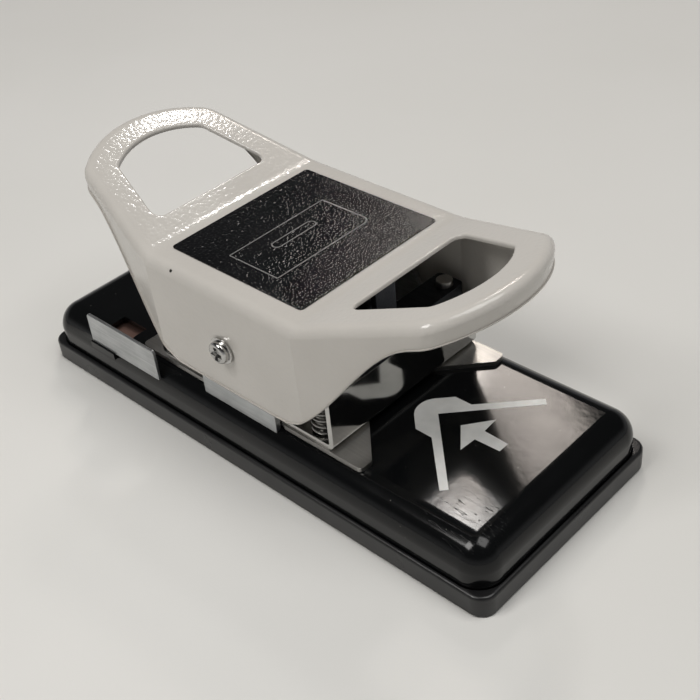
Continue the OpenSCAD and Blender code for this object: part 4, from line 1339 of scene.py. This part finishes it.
@dataclass
class Fasteners:
    """All the screws and the rubber feet, each set on its places by one node tree."""

    bracket_y: tuple[float, ...] = (-30.7, -18.0, 18.0, 30.7)
    die_near: Flat = (14.0, 22.0)
    die_far: Flat = (24.0, 30.65)
    corner_punch: Flat = (19.5, 4.5)
    slot_punch: Flat = (26.0, 9.05)
    head: float = 7.5
    head_height: float = 2.6
    shank: float = 4.0
    bracket_length: float = 7.5
    die_length: float = 13.3
    punch_length: float = 10.4
    pivot_head: float = 8.3
    pivot_shank: float = 5.0
    pivot_length: float = 13.8
    washer: float = 10.0
    washer_height: float = 0.9
    foot_edge: float = 0.4
    foot_steps: int = 4

    def both(self, places: Sequence[Flat], end: End, z: float, up: float) -> list[tuple[Point, Point]]:
        """Gives places of one end and their mirror images across the middle, with their axis."""
        return [
            ((end.value * x, s * y, z), (0.0, 0.0, up)) for x, y in places for s in (-1, 1)]

    def screw(self, length: float) -> bpy.types.Object:
        """Makes one of the small screws, upright with the seat of its head at the origin."""
        return PanScrew(self.head, self.head_height, self.shank, length).part()

    def foot(self, radius: float, height: float) -> bpy.types.Object:
        """Draws one foot with a soft lower edge.

        Args:
            radius: Its radius.
            height: Its height.

        Returns:
            The foot, upright at the origin.
        """
        draft = MeshDraft()
        edge = rounding(self.foot_edge, self.foot_steps)
        draft.turned([(radius - i, d) for i, d in edge] + [(radius, height)])
        return draft.piece("foot")

    def build(self, tray: ChipTray) -> None:
        """Makes every set and dresses it.

        Args:
            tray: The tray that the feet sit in.
        """
        tree = PointTree.make()
        side = extent("handle_shell")[1].y
        pivot = extent("pivot_shaft")
        axle_z = (pivot[0].z + pivot[1].z) / 2
        reach = extent("pivot_screws")[1].y - side
        pivots = [((0.0, s * side, axle_z), (0.0, float(s), 0.0)) for s in (-1, 1)]
        pivot_screw = PanScrew(
            self.pivot_head, reach, self.pivot_shank, self.pivot_length, self.washer, self.washer_height)
        PointSet("pivot_screws", Body.ROCKER, BRIGHT_ZINC, pivots).spread(tree, pivot_screw.part())
        seat = extent("bracket_screws")[1].z - self.head_height
        seats = [((0.0, y, seat), (0.0, 0.0, 1.0)) for y in self.bracket_y]
        PointSet("bracket_screws", Body.BASE, BRIGHT_ZINC, seats).spread(
            tree, self.screw(self.bracket_length))
        presses = ((End.CORNER, "corner", Body.CORNER_PRESS, self.corner_punch),
                   (End.SLOT, "slot", Body.SLOT_PRESS, self.slot_punch))
        for end, name, press, punch in presses:
            low = extent(name + "_die")[0].z
            under = self.both((self.die_near, self.die_far), end, low, -1.0)
            PointSet(name + "_die_screws", Body.BASE, BRIGHT_ZINC, under).spread(
                tree, self.screw(self.die_length))
            top = extent(name + "_crosshead")[1].z
            over = self.both((punch,), end, top, 1.0)
            PointSet(name + "_punch_screws", press, BRIGHT_ZINC, over).spread(
                tree, self.screw(self.punch_length))
        stands = [((x, y, 0.0), (0.0, 0.0, 1.0)) for x, y in tray.feet()]
        PointSet("rubber_feet", Body.BASE, RUBBER, stands).spread(
            tree, self.foot(tray.foot_radius, tray.foot_depth))


@dataclass
class ReturnSprings:
    """The four springs that lift the crossheads, each an open coil round its post."""

    wire: float = 1.2
    turns: float = 6.0
    coil_radius: float = 4.0
    seat_gap: float = 0.3
    sharp: float = 60.0

    def build(self) -> None:
        """Winds each spring between the base and its crosshead."""
        tree = SpringTree.make()
        for name, press in (("front", "corner"), ("rear", "slot")):
            for side in ("left", "right"):
                node = f"{name}_{side}_spring"
                low, high = extent(node)
                centre = (low + high) / 2
                foot = Vector((centre.x, centre.y, low.z + self.wire / 2))
                piece = new_object(node + "_coil", bpy.data.meshes.new(node + "_coil"))
                grow(piece, tree, {
                    "Turns": self.turns, "Coil Radius": self.coil_radius * MM,
                    "Wire Radius": self.wire / 2 * MM, "Height": (high.z - low.z - self.wire) * MM,
                    "Foot": foot * MM, "Finish": SPRING_STEEL.material()})
                smooth(piece, self.sharp)
                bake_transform(piece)
                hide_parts(node)


def break_edges(piece: bpy.types.Object, edge: float) -> None:
    """Rounds the sharp edges of a piece a little.

    Args:
        piece: The piece.
        edge: The width of the rounding, in millimetres.
    """
    piece.data.shade_smooth()
    piece.data.set_sharp_from_angle(angle=math.radians(SHARP_ANGLE))
    bevel = piece.modifiers.new("broken edges", "BEVEL")
    bevel.width = edge * MM
    bevel.segments = BEVEL_STEPS
    bevel.limit_method = "ANGLE"
    bevel.angle_limit = math.radians(SHARP_ANGLE)
    bevel.harden_normals = True
    settle(piece)


@dataclass
class CutPiece:
    """A sawn, pressed or ground piece of the frame, with its edges broken as a shop leaves them."""

    node: str
    body: Body
    finish: Finish
    edge: float = 0.2

    def build(self) -> None:
        """Copies the node, breaks its edges and dresses it."""
        mesh = bpy.data.objects[self.node].data.copy()
        work = bmesh.new()
        work.from_mesh(mesh)
        bmesh.ops.remove_doubles(work, verts=work.verts, dist=MERGE)
        bmesh.ops.dissolve_limit(
            work, angle_limit=math.radians(FLAT_ANGLE), verts=work.verts, edges=work.edges)
        work.to_mesh(mesh)
        work.free()
        mesh.name = self.node + "_piece"
        piece = new_object(self.node + "_piece", mesh)
        break_edges(piece, self.edge)
        dress(piece, self.finish, self.body, self.node)


CUT_PIECES = (
    CutPiece("pivot_bracket", Body.BASE, ZINC_PLATE, 0.25),
    CutPiece("bracket_nut_bar", Body.BASE, GROUND_STEEL),
    CutPiece("pivot_bushes", Body.BASE, BRONZE),
    CutPiece("pivot_shaft", Body.ROCKER, GROUND_STEEL),
    # The press brackets inside the handle take a near-black plate: painted shade for the dark there
    CutPiece("front_press_bracket", Body.ROCKER, SHADE_BLACK_ZINC),
    CutPiece("rear_press_bracket", Body.ROCKER, SHADE_BLACK_ZINC),
    CutPiece("corner_stop_plate", Body.BASE, GROUND_STEEL, 0.45),
    CutPiece("slot_stop_plate", Body.BASE, GROUND_STEEL, 0.45),
    CutPiece("front_guide_bracket", Body.BASE, POLISHED_STEEL, 0.3),
    CutPiece("rear_guide_bracket", Body.BASE, POLISHED_STEEL, 0.3),
    CutPiece("corner_die", Body.BASE, TOOL_STEEL),
    CutPiece("slot_die", Body.BASE, TOOL_STEEL),
    CutPiece("corner_punch_guide", Body.BASE, TOOL_STEEL, 0.3),
    CutPiece("slot_punch_guide", Body.BASE, TOOL_STEEL, 0.3),
    CutPiece("front_guide_posts", Body.BASE, GROUND_STEEL, 0.3),
    CutPiece("rear_guide_posts", Body.BASE, GROUND_STEEL, 0.3),
    # The crossheads take the same near-black plate: painted shade for the dark inside the handle
    CutPiece("corner_crosshead", Body.CORNER_PRESS, SHADE_BLACK_ZINC, 0.4),
    CutPiece("slot_crosshead", Body.SLOT_PRESS, SHADE_BLACK_ZINC, 0.4),
    CutPiece("corner_punch", Body.CORNER_PRESS, TOOL_STEEL, 0.05),
    CutPiece("slot_punch", Body.SLOT_PRESS, TOOL_STEEL, 0.05),
    CutPiece("guide_track", Body.BASE, ZINC_PLATE),
    CutPiece("guide_stop_pin", Body.BASE, GROUND_STEEL),
)


@dataclass
class SideGuide:
    """The sliding guide: a bright upright plate, and a browned leaf that runs in the base."""

    sheet: float = 1.3
    corner: float = 0.8
    tab: Flat = (11.8, 1.3)
    edge: float = 0.25
    leaf: tuple[Flat, Flat] = ((-80.2, -43.2), (-54.3, -11.4))
    leaf_ends: Flat = (20.1, 21.4)
    leaf_corner: float = 0.4
    leaf_steps: int = 3
    slot: tuple[Flat, Flat] = ((-69.5, -28.65), (-65.0, -14.15))

    def plate(self) -> bpy.types.Object:
        """Draws the plate with its tab, flat, and stands it up.

        Returns:
            The piece.
        """
        low, high = extent("side_guide")
        foot = low.z + self.tab[1]
        c = self.corner
        outline = [
            (low.x, low.z), (low.x + self.tab[0], low.z), (low.x + self.tab[0], foot), (high.x, foot),
            (high.x, high.z - c), (high.x - c, high.z), (low.x + c, high.z), (low.x, high.z - c)]
        draft = MeshDraft()
        draft.prism([outline], -low.y - self.sheet, -low.y)
        piece = draft.piece("guide_plate")
        piece.data.transform(Matrix.Rotation(math.radians(90.0), 4, "X"))
        return piece

    def build(self) -> None:
        """Makes the plate and the leaf and dresses them."""
        plate = self.plate()
        draft = MeshDraft()
        radius = (self.slot[1][0] - self.slot[0][0]) / 2
        outline = rounded(*self.leaf, self.leaf_corner, self.leaf_steps)
        draft.prism([outline, rounded(*self.slot, radius)], *self.leaf_ends)
        leaf = draft.piece("guide_leaf")
        for piece, finish in ((plate, ZINC_PLATE), (leaf, BROWN_ZINC)):
            break_edges(piece, self.edge)
            dress(piece, finish, Body.SIDE_GUIDE, "side_guide")


def aimed(place: Vector, goal: Vector, roll: float) -> Matrix:
    """Sets up a lamp or a camera that looks at a point.

    Args:
        place: Where it stands.
        goal: The point that it looks at.
        roll: How far it is turned about its own axis, in degrees.

    Returns:
        Its place and turn.
    """
    aim = (goal - place).to_track_quat("-Z", "Y")
    turn = aim @ Quaternion((0.0, 0.0, 1.0), math.radians(roll))
    return Matrix.Translation(place) @ turn.to_matrix().to_4x4()


@dataclass
class SoftBox:
    """A soft studio lamp that looks at the machine."""

    name: str
    away: Point
    width: float
    height: float
    power: float
    colour: str = "#ffffff"
    roll: float = 0.0

    def build(self, goal: Vector) -> None:
        """Hangs the lamp, points it and turns it about its own axis.

        Args:
            goal: The point that it looks at.
        """
        lamp = bpy.data.lights.new(self.name, "AREA")
        lamp.shape = "RECTANGLE"
        lamp.size = self.width
        lamp.size_y = self.height
        lamp.energy = self.power
        lamp.color = linear(self.colour)[:3]
        hung = bpy.data.objects.new(self.name, lamp)
        bpy.context.scene.collection.objects.link(hung)
        hung.matrix_world = aimed(Vector(self.away), goal, self.roll)


@dataclass
class Studio:
    """A pale floor, soft lamps and the camera, in metres."""

    floor_size: float = 12.0
    floor_colour: str = "#e3e2df"
    floor_shade: str = "#dddcd8"
    floor_roughness: float = 0.7
    floor_cloud: float = 300.0
    sky_colour: str = "#ffffff"
    sky_low: float = 0.38
    sky_high: float = 0.05
    sky_ends: Flat = (0.12, 0.42)
    film: float = 36.0
    lens: float = 60.04
    eye: Point = (0.25704, -0.22514, 0.28251)
    sight: Point = (0.01361, 0.00276, 0.03)
    tilt: float = -6.108
    nearest: float = 0.01
    goal: Point = (0.0, 0.0, 0.045)
    # The two largest light the whole machine, and the small ones are what its glossy faces mirror
    lamps: tuple[SoftBox, ...] = (
        SoftBox("key", (-0.22, -0.68, 1.1), 0.5, 0.5, 7.6, "#fffdfa"),
        SoftBox("window", (-0.628, 1.013, 1.059), 0.12, 0.26, 1.16, "#fff4ea", 31.0),
        SoftBox("lamp behind", (-0.636, 0.84, 1.154), 0.075, 0.07, 0.28, "#fff4ea", 45.0),
        SoftBox("small lamp", (-0.78, 1.0, 1.036), 0.07, 0.07, 0.7, "#fff6ee"),
        SoftBox("ceiling lamp", (-0.688, 0.88, 1.34), 0.11, 0.11, 1.4, "#fffdfa"),
        SoftBox("overhead", (0.5, 0.2, 1.5), 0.9, 0.9, 10.8, "#fffefc"),
    )

    def floor(self) -> None:
        """Lays the floor, a pale painted board."""
        half = self.floor_size / 2 / MM
        draft = MeshDraft()
        corners = [(-half, -half), (half, -half), (half, half), (-half, half)]
        draft.fill([draft.ring([(x, y, 0.0) for x, y in corners])])
        board = draft.piece("floor")
        paint = GrainedSkin(
            "matt painted board", "", self.floor_colour, self.floor_shade, self.floor_roughness,
            cloud=self.floor_cloud)
        board.data.materials.append(paint.material())

    def sky(self) -> None:
        """Lights the room from all sides, pale near the floor and dim overhead."""
        world = bpy.data.worlds.new("soft room")
        world.use_nodes = True
        tree = world.node_tree
        tree.nodes.clear()
        way = add(tree, "ShaderNodeTexCoord").outputs["Generated"]
        parts = add(tree, "ShaderNodeSeparateXYZ", {"Vector": way})
        level = add(tree, "ShaderNodeMapRange", {
            "Value": parts.outputs["Z"], "From Min": self.sky_ends[0], "From Max": self.sky_ends[1],
            "To Min": self.sky_low, "To Max": self.sky_high}, interpolation_type="SMOOTHSTEP")
        glow = add(tree, "ShaderNodeBackground", {
            "Color": linear(self.sky_colour), "Strength": level.outputs[0]})
        add(tree, "ShaderNodeOutputWorld", {"Surface": glow.outputs["Background"]})
        bpy.context.scene.world = world

    def camera(self) -> None:
        """Sets the camera at the photograph's angle."""
        lens = bpy.data.cameras.new("camera")
        lens.lens = self.lens
        lens.sensor_width = self.film
        lens.sensor_fit = "HORIZONTAL"
        lens.clip_start = self.nearest
        eye = bpy.data.objects.new("camera", lens)
        bpy.context.scene.collection.objects.link(eye)
        eye.matrix_world = aimed(Vector(self.eye), Vector(self.sight), self.tilt)
        bpy.context.scene.camera = eye

    def build(self) -> None:
        """Makes the whole studio."""
        bpy.context.scene.view_settings.view_transform = "Standard"
        self.floor()
        self.sky()
        self.camera()
        for lamp in self.lamps:
            lamp.build(Vector(self.goal))


def main() -> None:
    """Builds the machine's pieces in order, then the studio."""
    logging.basicConfig(level=logging.INFO, format="%(message)s")
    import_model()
    tray = ChipTray()
    tray.build()
    BaseShell().build()
    CornerSign().build()
    for piece in CUT_PIECES:
        piece.build()
    SideGuide().build()
    ReturnSprings().build()
    Fasteners().build(tray)
    RockerHandle().build()
    LabelPlate().build()
    Studio().build()


if __name__ == "__main__":
    main()
